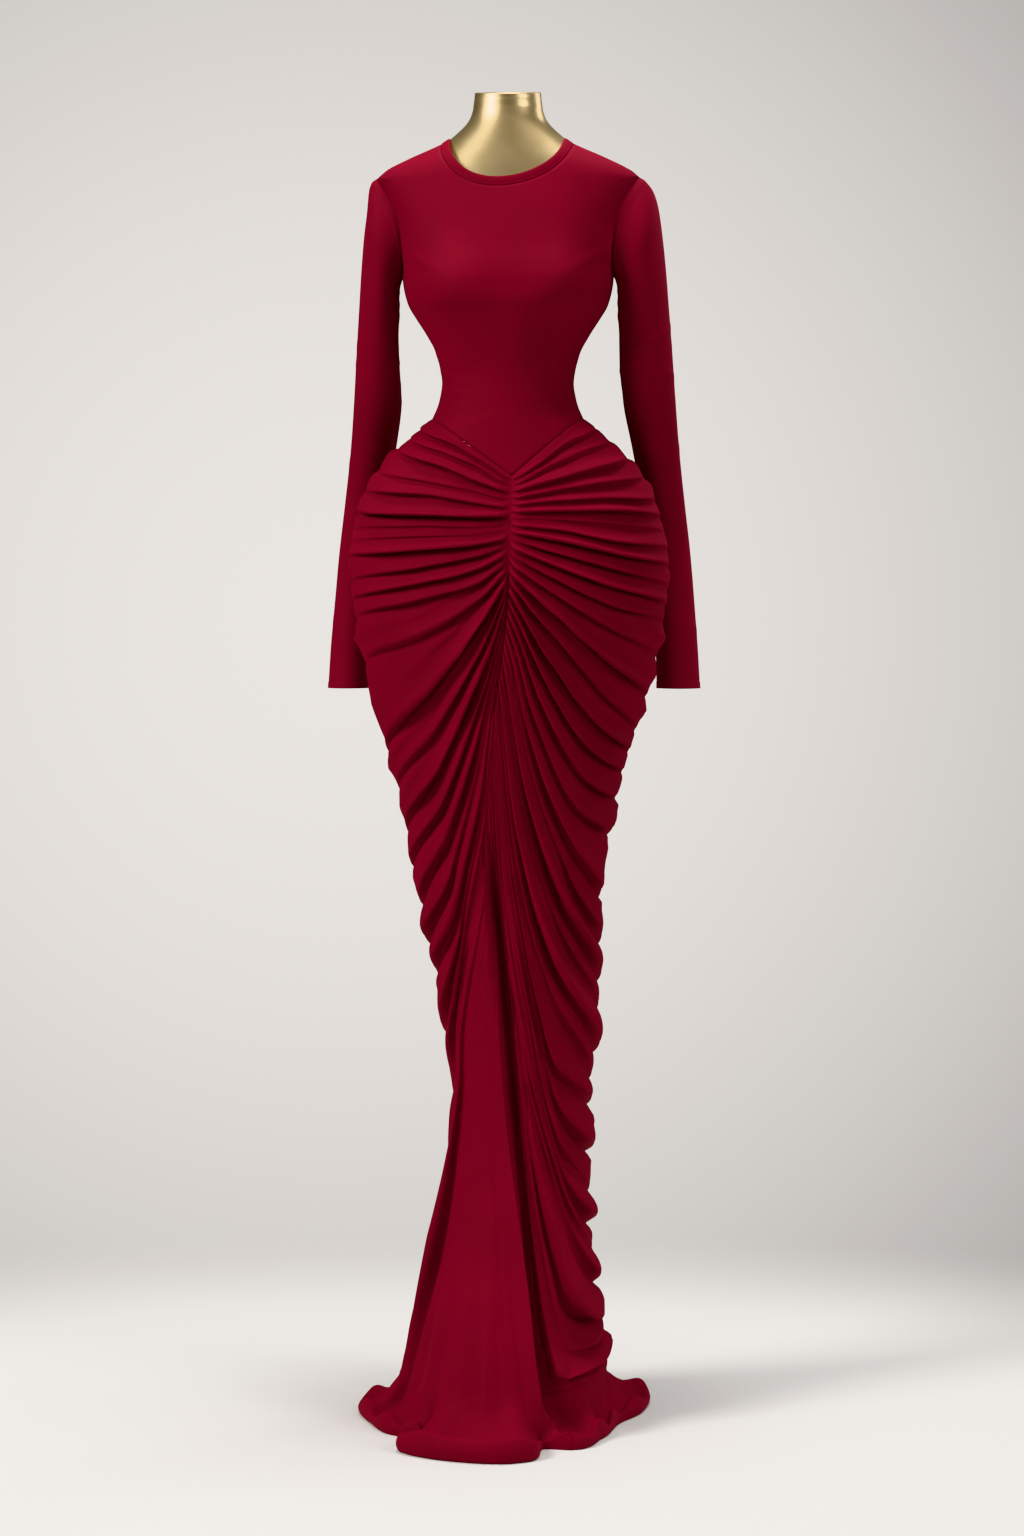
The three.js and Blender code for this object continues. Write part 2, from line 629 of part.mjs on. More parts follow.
// The waist seam seen from a bodice piece.
function waistEdge(facing) {
  if (facing < 0) return (u) => waistLine(Math.sign(u) || 1)(Math.abs(u));
  return (u) => {
    const angle = u * 90 * TURN;
    return { angle, w: waistBackHeight(Math.PI - angle) };
  };
}

const HALF_COLUMNS = [-1, -0.91, -0.8, -0.68, -0.54, -0.4, -0.27, -0.13];
const BODICE_COLUMNS = [...HALF_COLUMNS, 0, ...HALF_COLUMNS.map((u) => -u).reverse()];
const ARMHOLE_ROWS = Array.from({ length: ARMHOLE_STEPS + 1 }, (_, i) => i / ARMHOLE_STEPS);
const BODICE_ROWS = [
  ...[0, 0.08, 0.17, 0.26, 0.34],
  ...ARMHOLE_ROWS.map((share) => mix(ARMHOLE_PART[0], ARMHOLE_PART[1], share)),
  ...[0.93, 1],
];

// A bodice piece. Its edges keep half of each seam's gap.
function bodicePiece(facing) {
  const edges = { lower: waistEdge(facing), upper: neckEdge(facing), side: bodiceSide(facing) };
  const points = [];
  const rows = BODICE_ROWS.toReversed().map((v) =>
    BODICE_COLUMNS.map((u) => {
      const place = patchPoint(edges, u, v);
      if (facing > 0) place.angle = Math.PI - place.angle;
      if (v === 0) place.w += WAIST_GAP;
      const onSeam = Math.abs(u) === 1 && (v <= ARMHOLE_PART[0] || v >= ARMHOLE_PART[1]);
      points.push(onCloth(place, [0, onSeam ? (facing * SEAM_GAP) / 2 : 0]));
      return points.length - 1;
    }),
  );
  return wallOf(points, gridTriangles(rows, points), CLOTH);
}

// A closed tube of rings that each have as many points, open or closed along its length. The
// points of a ring run anticlockwise as seen from the end of the tube.
function ringTriangles(rings, joined) {
  const count = rings.length;
  const triangles = [];
  for (let i = 0; i < (joined ? count : count - 1); i++) {
    const [low, high] = [rings[i], rings[(i + 1) % count]];
    low.forEach((a, j) => {
      const k = (j + 1) % low.length;
      triangles.push([a, low[k], high[k]], [a, high[k], high[j]]);
    });
  }
  return triangles;
}

// The neckband: a flat tube along the neckline, which lies on the same slope as the bodice.
function neckband() {
  const places = [];
  for (const facing of [-1, 1]) {
    for (const u of BODICE_COLUMNS.slice(0, -1)) {
      const edge = neckEdge(facing)(facing * u);
      const angle = facing < 0 ? edge.angle : Math.PI - edge.angle;
      places.push({ at: clothPoint(angle, edge.w), out: clothNormal(angle, edge.w) });
    }
  }
  const section = [
    [SEAM_GAP, 0],
    [1.6, BAND.bulge],
    [BAND.width - 1.5, BAND.bulge],
    [BAND.width, -0.5],
    [BAND.width - 0.5, -CLOTH],
    [SEAM_GAP, -CLOTH],
  ];
  const points = [];
  const rings = places.map(({ at, out }, i) => {
    const last = places[(i + places.length - 1) % places.length].at;
    const next = places[(i + 1) % places.length].at;
    const along = next.clone().sub(last).normalize();
    const up = along.clone().cross(out);
    return section.map(([across, thick]) => {
      const lift = (BAND.lift * across * across) / BAND.width;
      points.push(at.clone().addScaledVector(up, across).addScaledVector(out, thick + lift));
      return points.length - 1;
    });
  });
  return outward(geometryOf(points, ringTriangles(rings, true)));
}

// Turns a closed geometry's triangles to face out, if they face in.
function outward(geometry) {
  const at = geometry.getAttribute("position");
  const index = [...geometry.index.array];
  const [a, b, c] = [new THREE.Vector3(), new THREE.Vector3(), new THREE.Vector3()];
  let volume = 0;
  for (let i = 0; i < index.length; i += 3) {
    a.fromBufferAttribute(at, index[i]);
    b.fromBufferAttribute(at, index[i + 1]);
    c.fromBufferAttribute(at, index[i + 2]);
    volume += a.dot(b.cross(c));
  }
  if (volume < 0) {
    for (let i = 0; i < index.length; i += 3) {
      [index[i], index[i + 1]] = [index[i + 1], index[i]];
    }
    geometry.setIndex(index);
  }
  return geometry;
}

// The turns of a sleeve's rings, as pairs of across and ahead. They start at the underarm and
// meet the points of the bodice's armhole.
function sleeveTurns() {
  const turns = [];
  for (const facing of [-1, 1]) {
    const start = armholeStart(facing);
    for (let i = 0; i < ARMHOLE_STEPS; i++) {
      const turn = mix(start, Math.PI - start, (facing < 0 ? i : ARMHOLE_STEPS - i) / ARMHOLE_STEPS);
      turns.push([-Math.cos(turn), facing * Math.sin(turn)]);
    }
  }
  return turns;
}

// A sleeve, from its armhole to its cuff.
function sleeve(side) {
  const points = [];
  const rings = [];
  const start = [];
  const turns = sleeveTurns();
  for (const [c, s] of turns) {
    const y = ARMHOLE.y + s * (ARMHOLE.halfY - SEAM_GAP);
    const z = ARMHOLE.z + c * (ARMHOLE.halfZ - SEAM_GAP);
    const depth = y < 0 ? frontDepth(z) : backDepth(z);
    const x = centreX(z) + side * (halfWidth(z) * Math.sqrt(1 - (y / depth) ** 2));
    const out = new THREE.Vector3(0, s / ARMHOLE.halfY, c / ARMHOLE.halfZ).normalize();
    points.push({ at: new THREE.Vector3(x, y, z), out });
    start.push(points.length - 1);
  }
  rings.push(start);
  for (const ring of SLEEVE_RINGS) {
    const outX = ring.outX + side * ring.outShift;
    const inX = ring.inX + side * ring.inShift;
    const across = new THREE.Vector3(outX - inX, 0, ring.outZ - ring.inZ);
    const half = across.length() / 2;
    across.normalize();
    const row = [];
    for (const [c, s] of turns) {
      const at = new THREE.Vector3((outX + inX) / 2, ring.midY, (ring.outZ + ring.inZ) / 2);
      at.addScaledVector(across, c * half);
      at.y += s * ring.halfY;
      const out = across.clone().multiplyScalar(c / half);
      out.y += s / ring.halfY;
      at.x *= side;
      out.x *= side;
      points.push({ at, out: out.normalize() });
      row.push(points.length - 1);
    }
    rings.push(row);
  }
  return wallOf(points, ringTriangles(rings, false), CLOTH);
}

// The form inside the dress: the same sections set in by its clearance, then the neck.
const FORM_STEPS = 24;
const FORM_LEVELS = [
  ...[700, 704, 716, 740, 870, 960, 1060, 1165, 1190, 1225, 1260, 1295, 1340],
  ...[1404, 1460, 1520, 1545, 1556, 1570, 1585, 1597],
];
const FORM_ROUNDING = named(["z", "share"], [
  [700, 0.72],
  [704, 0.85],
  [716, 0.96],
  [740, 1],
]);
function formTorso() {
  const rounding = curveThrough(FORM_ROUNDING, "z", "share");
  const clearance = curveThrough(FORM_CLEAR, "z", "clear");
  const points = [];
  const rings = [];
  for (const z of FORM_LEVELS) {
    const ring = [];
    for (let i = 0; i < FORM_STEPS; i++) {
      const angle = (i / FORM_STEPS) * 2 * Math.PI;
      const set = -CLOTH - clearance(z);
      const at = clothPoint(angle, z).addScaledVector(clothNormal(angle, z), set);
      const share = z < 740 ? rounding(z) : 1;
      points.push(new THREE.Vector3(at.x * share, at.y * share, z < 740 ? z : at.z));
      ring.push(points.length - 1);
    }
    rings.push(ring);
  }
  for (const { z, half, front, back } of NECK_SECTIONS) {
    const ring = [];
    for (let i = 0; i < FORM_STEPS; i++) {
      const angle = (i / FORM_STEPS) * 2 * Math.PI;
      const depth = Math.cos(angle) > 0 ? front : back;
      const x = half * Math.sin(angle);
      const y = -depth * Math.cos(angle);
      const tilt = z === NECK_SECTIONS.at(-1).z ? FORM.neckTilt * (y - back) : 0;
      points.push(new THREE.Vector3(x, y, z + tilt));
      ring.push(points.length - 1);
    }
    rings.push(ring);
  }
  const triangles = ringTriangles(rings, false);
  for (const ring of [rings[0], rings.at(-1)]) {
    const middle = new THREE.Vector3();
    ring.forEach((index) => middle.addScaledVector(points[index], 1 / ring.length));
    points.push(middle);
    ring.forEach((a, j) => {
      const b = ring[(j + 1) % ring.length];
      triangles.push(ring === rings[0] ? [points.length - 1, b, a] : [points.length - 1, a, b]);
    });
  }
  return outward(geometryOf(points, triangles));
}

function pole() {
  const foot = BASE.thickness + PART_GAP;
  const height = FORM.bottom - PART_GAP - foot;
  const geometry = new THREE.CylinderGeometry(POLE.radius, POLE.radius, height, POLE.segments);
  geometry.rotateX(Math.PI / 2);
  geometry.translate(0, 0, foot + height / 2);
  return geometry;
}

function base() {
  const { radius, thickness, segments } = BASE;
  const edge = 1.5;
  const profile = [[0, 0], [radius - edge, 0], [radius, edge], [radius, thickness - edge]];
  profile.push([radius - edge, thickness], [0, thickness]);
  const outline = profile.map(([x, y]) => new THREE.Vector2(x, y));
  const geometry = new THREE.LatheGeometry(outline, segments);
  geometry.rotateX(Math.PI / 2);
  return geometry;
}

const group = new THREE.Group();
function add(name, geometry, finish) {
  const mesh = new THREE.Mesh(geometry, new THREE.MeshStandardMaterial(finish));
  mesh.name = name;
  group.add(mesh);
}

const left = frontPanel(1, LEFT_FOLDS);
const right = frontPanel(-1, RIGHT_FOLDS);
add("bodice_front", bodicePiece(-1), JERSEY);
add("bodice_back", bodicePiece(1), JERSEY);
add("sleeve_left", sleeve(1), JERSEY);
add("sleeve_right", sleeve(-1), JERSEY);
add("neckband", neckband(), JERSEY);
add("skirt_front_left", left.geometry, JERSEY);
add("skirt_front_right", right.geometry, JERSEY);
add("skirt_back_left", backPanel(1, left.sideSeam), JERSEY);
add("skirt_back_right", backPanel(-1, right.sideSeam), JERSEY);
add("form_torso", formTorso(), GOLD);
add("form_pole", pole(), STEEL);
add("form_base", base(), STEEL);

export default group;
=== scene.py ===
"""A long-sleeved bodycon maxi dress in crimson crepe jersey, on a limbless gold display form.

The cloth is laid over the same smooth figure as the solids, and its folds run from the gathered
centre-front seam to the side seams and the floor. Tables are in millimetres and degrees.
"""
import math

import bmesh
import bpy
import numpy as np
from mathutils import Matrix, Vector


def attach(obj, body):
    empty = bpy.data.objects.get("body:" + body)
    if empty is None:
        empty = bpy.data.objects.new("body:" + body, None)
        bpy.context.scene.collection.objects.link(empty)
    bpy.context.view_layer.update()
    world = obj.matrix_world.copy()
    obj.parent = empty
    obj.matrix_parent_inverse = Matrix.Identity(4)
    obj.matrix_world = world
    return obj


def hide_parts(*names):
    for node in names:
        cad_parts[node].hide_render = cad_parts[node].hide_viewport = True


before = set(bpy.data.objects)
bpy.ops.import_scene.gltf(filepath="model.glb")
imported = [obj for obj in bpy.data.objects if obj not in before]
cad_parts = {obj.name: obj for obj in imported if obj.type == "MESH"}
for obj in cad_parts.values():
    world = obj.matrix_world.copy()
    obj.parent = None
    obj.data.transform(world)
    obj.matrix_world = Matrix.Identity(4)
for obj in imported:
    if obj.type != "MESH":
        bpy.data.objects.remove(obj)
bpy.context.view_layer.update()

MM = 0.001
TURN = math.pi / 180
TINY = 1e-6

# Sizes of the cloth and its seams.
CLOTH = 1.6
SEAM_GAP = 0.1
SEAM_GROOVE = 1.1
SEAM_SPREAD = 2.6
KNEE = 60.0
HEM_STEP = 10.0
HEM_DROP = 80.0
HEM_LOWEST = 0.2
WAIST_SIDE = 1252.0
WAIST_FRONT = 1176.0
WAIST_BACK = 1228.0
WAIST_ROUNDS, WAIST_STEP, WAIST_REACH = 14, 0.6, 1.4
SIDE_X = 95.0
GATHER_END = 826.0

# Each row: z, centre x, half width, and the depth in front of and behind the side seams.
SECTIONS = np.array([
    [0, 2, 126, 178, 140],
    [60, 2, 120, 168, 132],
    [90, 2, 114, 158, 126],
    [150, 3, 105, 138, 114],
    [205, 5, 98, 120, 103],
    [265, 7, 91, 104, 93],
    [325, 10, 86, 90, 84],
    [425, 16, 82, 78, 76],
    [495, 16, 90, 78, 75],
    [550, 13, 94, 80, 77],
    [600, 8, 99, 83, 80],
    [660, 2, 107, 87, 84],
    [700, 0, 116, 91, 89],
    [740, 0, 123, 94, 94],
    [790, 0, 134, 98, 102],
    [870, 1, 158, 105, 117],
    [950, 2, 180, 111, 141],
    [1000, 2, 190, 114, 156],
    [1050, 2, 197, 115, 163],
    [1085, 1, 197, 114, 161],
    [1135, 0, 187, 109, 147],
    [1165, 0, 175, 104, 131],
    [1185, 0, 162, 100, 119],
    [1220, 0, 128, 93, 98],
    [1240, 0, 107, 89, 88],
    [1256, 0, 92, 86, 82],
    [1275, 0, 85, 84, 78],
    [1295, 0, 82, 83, 76],
    [1330, 0, 89, 90, 79],
    [1355, 0, 102, 97, 83],
    [1375, 0, 115, 103, 86],
    [1392, 0, 125, 108, 89],
    [1415, 0, 131, 108, 92],
    [1432, 0, 133, 106, 94],
    [1460, 0, 140, 99, 97],
    [1490, 0, 150, 91, 98],
    [1520, 0, 161, 82, 94],
    [1545, 0, 166, 74, 87],
    [1556, 0, 157, 71, 83],
    [1570, 0, 130, 67, 77],
    [1585, 0, 95, 61, 70],
    [1597, 0, 68, 56, 63],
], float)

# Each cup's soft rise: its angle from the centre front, height, rise and spreads.
CUP_ANGLE, CUP_Z, CUP_RISE = 33, 1404, 16
CUP_SPREAD_ANGLE, CUP_SPREAD_UP, CUP_SPREAD_DOWN = 21, 46, 26

# How far the hem lies from the middle of the skirt: angle from the front, radius.
HEM_OUTLINE = np.array([
    [-180, 190],
    [-152, 208],
    [-122, 180],
    [-92, 190],
    [-66, 182],
    [-48, 186],
    [-33, 174],
    [-25, 240],
    [-12, 254],
    [0, 258],
    [8, 244],
    [15, 188],
    [24, 206],
    [40, 178],
    [70, 150],
    [98, 174],
    [124, 200],
    [152, 186],
    [180, 190],
], float)

# The hem's profile: step, share of the way out, height.
HEM_PROFILE = np.array([
    [0, 0, 60],
    [1, 0.11, 43],
    [2, 0.27, 29],
    [3, 0.47, 18],
    [4, 0.7, 13],
    [5, 0.92, 16],
    [6, 1, 8],
    [7, 0.94, 0],
    [8, 0.76, 0],
], float)

# The hem's ridges and hollows, which run out over the floor: angle, rise, width in degrees.
HEM_FOLDS = [
    [-170, 9, 7],
    [-158, -6, 5],
    [-140, 11, 8],
    [-122, -6, 6],
    [-106, 9, 7],
    [-88, -5, 5],
    [-76, 10, 6],
    [-62, -6, 5],
    [-50, 11, 5],
    [-42, -5, 3],
    [-36, 7, 2.6],
    [-31, -10, 2.6],
    [-18, 7, 5],
    [4, 8, 5],
    [15, -12, 3],
    [22, 8, 4],
    [31, -7, 4],
    [40, 11, 5],
    [51, -7, 4],
    [61, 10, 5],
    [74, -5, 5],
    [90, 10, 7],
    [106, -6, 5],
    [122, 10, 8],
    [141, -6, 6],
    [158, 9, 7],
]

# The steps over which the ridges rise, and those over which they end.
RIDGES_FULL, RIDGES_FADE, RIDGES_END = 2.4, 4.6, 6.1

# The hem's roll below the flat panel: bearing, spread, extra thickness, and the steps where it starts.
ROLL_BEARING, ROLL_SPREAD, ROLL_EXTRA = -9, 17, 0.75
ROLL_BEGINS, ROLL_FULL = 3.6, 5

# The centre-front line: z, x.
CENTRE_FRONT = np.array([
    [60, 60],
    [98, 52],
    [172, 40],
    [257, 29],
    [342, 18],
    [434, 7],
    [513, -1],
    [574, -7],
    [684, -16],
    [745, -18],
    [797, -17],
    [851, -14],
    [916, -8],
    [940, -4],
    [1006, 3],
    [1093, 7],
    [1176, 10],
], float)

# One row for each fold of a front panel: the height where it leaves the centre-front line, two
# places it passes (x, z), the angle and height where it ends, its rise, and its hook at the side.
START, X1, Z1, X2, Z2, END_ANGLE, END_Z, RISE, HOOK = range(9)
LEFT_FOLDS = np.array([
    [1171, 41, 1194, 74, 1220, 90, 1243, 4, 0],
    [1165, 47, 1186, 92, 1208, 90, 1226, 5, 0],
    [1158, 53, 1173, 111, 1190, 90, 1205, 6, 0],
    [1150, 59, 1161, 123, 1172, 90, 1180, 6, 0],
    [1142, 65, 1149, 135, 1153, 90, 1151, 7, 0],
    [1134, 65, 1137, 135, 1139, 90, 1131, 6, 0],
    [1126, 65, 1125, 129, 1121, 90, 1112, 4, 0],
    [1118, 65, 1114, 135, 1101, 90, 1092, 6, 0],
    [1110, 65, 1102, 135, 1087, 90, 1070, 8, 0],
    [1102, 65, 1087, 135, 1068, 90, 1042, 9, 0],
    [1093, 65, 1071, 135, 1047, 90, 1022, 8, 0],
    [1084, 65, 1056, 129, 1027, 90, 1001, 9, 2],
    [1075, 63, 1039, 129, 1000, 90, 958, 8, 4],
    [1065, 59, 1020, 127, 963, 90, 910, 11, 6],
    [1055, 57, 997, 121, 925, 90, 868, 12, 8],
    [1044, 53, 968, 113, 890, 90, 843, 11, 8],
    [1032, 51, 940, 105, 858, 90, 818, 11, 8],
    [1019, 47, 914, 99, 822, 90, 787, 12, 8],
    [1006, 42, 885, 90, 785, 90, 750, 11, 8],
    [992, 38, 853, 84, 744, 90, 668, 13, 8],
    [978, 34, 823, 78, 702, 90, 612, 13, 8],
    [964, 30, 794, 72, 668, 90, 566, 12, 8],
    [950, 26, 764, 66, 635, 90, 526, 13, 8],
    [936, 21, 734, 60, 600, 90, 476, 13, 9],
    [922, 17, 704, 56, 562, 90, 438, 12, 9],
    [909, 16, 672, 56, 486, 90, 408, 12, 8],
    [897, 17, 640, 60, 430, 90, 348, 14, 8],
    [886, 19, 590, 64, 374, 90, 293, 9, 4],
    [876, 19, 556, 72, 318, 90, 255, 15, 3],
    [867, 18, 532, 74, 290, 90, 218, 4, 3],
    [859, 19, 500, 80, 254, 90, 178, 16, 4],
    [852, 22, 440, 84, 168, 90, 143, 11, 8],
    [849, 27, 370, 80, 116, 90, 122, 10, 8],
    [846, 26, 350, 68, 84, 90, 96, 20, 4],
    [841, 22, 345, 63, 74, 90, 60, 2, 0],
    [836, 20.5, 342, 61, 70, 70, 60, 1, 0],
    [831, 19.5, 340, 59, 66, 50, 60, 1, 0],
], float)
RIGHT_FOLDS = np.array([
    [1171, -20, 1193, -61, 1219, -90, 1244, 5, 0],
    [1165, -26, 1188, -71, 1207, -90, 1233, 6, 0],
    [1157, -32, 1174, -77, 1193, -90, 1219, 6, 0],
    [1148, -38, 1160, -98, 1173, -90, 1190, 3, 0],
    [1139, -38, 1147, -104, 1158, -90, 1164, 6, 0],
    [1130, -38, 1131, -110, 1134, -90, 1139, 8, 0],
    [1120, -38, 1116, -110, 1118, -90, 1118, 3, 0],
    [1111, -38, 1106, -110, 1105, -90, 1101, 2, 0],
    [1103, -38, 1096, -110, 1092, -90, 1083, 8, 0],
    [1094, -38, 1082, -104, 1070, -90, 1050, 8, 0],
    [1085, -38, 1066, -104, 1051, -90, 1027, 6, 0],
    [1076, -38, 1049, -104, 1031, -90, 1004, 8, 0],
    [1067, -38, 1026, -104, 988, -90, 951, 7, 2],
    [1056, -35, 997, -94, 922, -90, 838, 10, 5],
    [1044, -34, 962, -87, 874, -90, 790, 11, 5],
    [1031, -32, 935, -80, 834, -90, 737, 11, 5],
    [1018, -31, 906, -76, 792, -90, 696, 12, 6],
    [1004, -30, 877, -73, 750, -90, 648, 12, 6],
    [990, -28, 849, -66, 706, -90, 610, 12, 6],
    [976, -26, 820, -60, 668, -90, 568, 13, 6],
    [962, -24, 790, -55, 628, -90, 497, 12, 6],
    [950, -23, 772, -54, 590, -90, 425, 6, 0],
    [939, -23, 755, -56, 545, -90, 330, 1.5, 0],
    [929, -24, 735, -58, 500, -90, 235, 0, 0],
    [919, -25, 715, -60, 468, -90, 148, 0, 0],
    [909, -26, 700, -61, 440, -90, 60, 0, 0],
    [899, -24, 690, -57, 424, -78, 60, 17, 0],
    [887, -23, 684, -50, 408, -60, 60, 0, 0],
    [875, -22, 680, -43, 394, -42, 60, 1, 0],
    [863, -21, 672, -32, 382, -20, 60, 0, 0],
    [851, -20, 668, -20, 372, 0, 60, 1.5, 0],
    [841, -19, 664, -7, 366, 13, 60, 0, 0],
    [833, -18, 660, 2, 362, 21, 60, 15, 0],
], float)

# A sleeve's rings after the armhole: outer x and z, inner x and z, middle y, half depth, and how far
# the outer and the inner line of both sleeves hang over to the wearer's left.
SLEEVE_RINGS = np.array([
    [175.5, 1541, 136.5, 1424, 4, 50, 6, 0],
    [184.5, 1488, 137, 1401, 7, 47, 6, 0],
    [189.5, 1440, 137, 1380, 10, 44, 6.3, 0],
    [193.5, 1388, 138, 1352, 15, 41, 6.5, 0],
    [197.7, 1334, 138, 1318, 25, 39, 6.5, 0.5],
    [202, 1280, 139.5, 1276, 42, 37, 6, 3],
    [208, 1216, 150, 1216, 67, 35, 5, 4],
    [216.5, 1150, 163, 1150, 93, 34, 3.5, 3.5],
    [225, 1085, 172, 1085, 110, 33, 2.5, 2.5],
    [231, 1020, 178, 1020, 115, 34, 2, 2],
    [236, 960, 182, 960, 115, 36, 1.5, 1.5],
    [238, 926, 183, 926, 113, 38, 1.5, 1.5],
    [239, 914, 183, 914, 112, 39, 1.5, 1.5],
], float)
# The armhole's middle and half sizes, seen from the side.
ARM_Y, ARM_Z, ARM_HALF_Y, ARM_HALF_Z = 2.0, 1490.0, 42.0, 60.0
# The neckline's height at the shoulders, its lowest place across, and its drop in front and behind.
NECK_Z, NECK_LOW_X, NECK_FRONT, NECK_BACK = 1591.0, -9.0, 61.0, 17.0
# The neckband's width, and how far its upper edge leans away from the cloth's own slope.
BAND_WIDTH, BAND_LIFT = 12.0, 0.14

# The form's neck above the shoulders: z, half width, depth in front and behind.
NECK_SECTIONS = np.array([
    [1605, 54, 49, 53],
    [1618, 47, 44, 48],
    [1636, 43, 41, 46],
    [1661, 41, 40, 44],
], float)
# How far inside the cloth's wall the form lies: z, distance.
FORM_CLEAR = np.array([
    [700, 12],
    [1200, 10],
    [1300, 7],
    [1500, 8],
    [1560, 7.3],
    [1580, 3.7],
    [1597, 3],
], float)
# How steeply the neck's cut slopes down to the front.
NECK_TILT = 0.16


def curve(table, across, up):
    """A smooth curve through two columns of a table, which never swings past its points."""
    x = table[:, across]
    y = table[:, up]
    slope = np.diff(y) / np.diff(x)
    before, after = slope[:-1], slope[1:]
    total = np.where(before + after == 0, 1, before + after)
    inner = np.where(before * after > 0, 2 * before * after / total, 0)
    lean = np.concatenate([slope[:1], inner, slope[-1:]])

    def at(q):
        q = np.asarray(q, float)
        i = np.clip(np.searchsorted(x, q, side="right") - 1, 0, len(x) - 2)
        step = x[i + 1] - x[i]
        t = np.clip((q - x[i]) / step, 0, 1)
        s = 1 - t
        from_first = (1 + 2 * t) * s * s * y[i] + t * s * s * step * lean[i]
        from_second = t * t * (3 - 2 * t) * y[i + 1] - t * t * s * step * lean[i + 1]
        return from_first + from_second

    return at


centre_x = curve(SECTIONS, 0, 1)
half_width = curve(SECTIONS, 0, 2)
front_depth = curve(SECTIONS, 0, 3)
back_depth = curve(SECTIONS, 0, 4)
hem_radius = curve(HEM_OUTLINE, 0, 1)
hem_share = curve(HEM_PROFILE, 0, 1)
hem_height = curve(HEM_PROFILE, 0, 2)
centre_front = curve(CENTRE_FRONT, 0, 1)
form_clear = curve(FORM_CLEAR, 0, 1)


def mix(a, b, t):
    """A blend from a to b."""
    return a + (b - a) * t


def bump(v, middle, spread):
    """A rounded rise of 1 around middle."""
    return np.exp(-((v - middle) / spread) ** 2)


def wander(v, seed):
    """A slow uneven wave between about -1 and 1, the same on every run."""
    a = np.sin(v * 1.0 + seed * 12.9898)
    b = np.sin(v * 2.3 + seed * 78.233)
    c = np.sin(v * 4.1 + seed * 37.719)
    return 0.5 * a + 0.32 * b + 0.18 * c


def ease(low, high, v):
    """A smooth step from 0 at low to 1 at high, which may be the smaller of the two."""
    t = np.clip((v - low) / (high - low), 0, 1)
    return t * t * (3 - 2 * t)


def hem_roll(bearing, step):
    """How much thicker the rolled edge is below the flat front panel."""
    front = bump(bearing, ROLL_BEARING, ROLL_SPREAD)
    return 1 + ROLL_EXTRA * front * ease(ROLL_BEGINS, ROLL_FULL, step)


def hem_folds(bearing):
    """The height of the ridges and hollows round the hem."""
    total = np.zeros(np.shape(bearing))
    for middle, rise, width in HEM_FOLDS:
        away = (bearing - middle + 180) % 360 - 180
        total = total + rise * bump(away, 0, width)
    return total


def cloth_point(angle, w):
    """The dress's smooth surface at an angle in radians and a height w. Below the knee of the hem
    w counts on along the floor to the tucked edge."""
    angle, w = np.broadcast_arrays(np.asarray(angle, float), np.asarray(w, float))
    z = np.maximum(w, KNEE)
    side, ahead = np.sin(angle), np.cos(angle)
    depth = np.where(ahead > 0, front_depth(z), back_depth(z))
    half = half_width(z)
    x = centre_x(z) + half * side
    y = -depth * ahead
    degrees = angle / TURN
    up = (z - CUP_Z) / np.where(z > CUP_Z, CUP_SPREAD_UP, CUP_SPREAD_DOWN)
    both = bump(degrees, CUP_ANGLE, CUP_SPREAD_ANGLE) + bump(degrees, -CUP_ANGLE, CUP_SPREAD_ANGLE)
    cup = np.where(z > WAIST_SIDE, CUP_RISE * both * np.exp(-up * up), 0)
    step = (KNEE - w) / HEM_STEP
    out_x, out_y = side / half, -ahead / depth
    size = np.hypot(out_x, out_y)
    share = np.where(w < KNEE, hem_share(step), 0)
    bearing = np.arctan2(x, -y) / TURN
    reach = (hem_radius(bearing) - np.hypot(x, y)) * share
    z = np.where(w < KNEE, hem_height(step) * hem_roll(bearing, step), z)
    z = z + hem_folds(bearing) * ease(0, RIDGES_FULL, step) * ease(RIDGES_END, RIDGES_FADE, step)
    z = np.where(w < KNEE, np.maximum(z, HEM_LOWEST), z)
    return np.stack([x + out_x / size * reach, y - cup + out_y / size * reach, z], -1)


def unit(v):
    """Vectors of length 1."""
    return v / np.maximum(np.linalg.norm(v, axis=-1, keepdims=True), 1e-9)


def cloth_normal(angle, w):
    """The smooth surface's outward direction."""
    near = 0.004
    across = cloth_point(angle + near, w) - cloth_point(angle - near, w)
    up = cloth_point(angle, w + 1) - cloth_point(angle, w - 1)
    return unit(np.cross(across, up))


def angle_at(x, z):
    """The angle whose point lies at that x on the front."""
    return np.arcsin(np.clip((x - centre_x(z)) / half_width(z), -1, 1))


def centre_angle(w):
    """The angle of the centre-front line at a height."""
    return angle_at(centre_front(w), w)


def waist_height(x, lowest, lowest_x):
    """The waist seam's height at an x: a V in front and a shallower one behind."""
    edge = np.where(x > lowest_x, SIDE_X, -SIDE_X)
    return mix(lowest, WAIST_SIDE, np.clip((x - lowest_x) / (edge - lowest_x), 0, WAIST_REACH))


def waist_w(angle, lowest, lowest_x):
    """The waist seam's height at an angle."""
    w = np.full(np.shape(angle), lowest, float)
    for _ in range(WAIST_ROUNDS):
        x = centre_x(w) + half_width(w) * np.sin(angle)
        w = mix(w, waist_height(x, lowest, lowest_x), WAIST_STEP)
    return w


# Colours, as sRGB hex values.
CRIMSON_DEEP = "690219"
CRIMSON_LIGHT = "7C0320"
GOLD_LACQUER = "E6D0A4"
GOLD_DEEP = "D6BA84"
STEEL_GREY = "B4B6B8"
STEEL_DARK = "8E9194"
SHEEN_PINK = "D03050"
PAPER = "DCD9D6"
WALL_LIGHT = "FFFAF6"
ROOM_LIGHT = "EDEBE8"

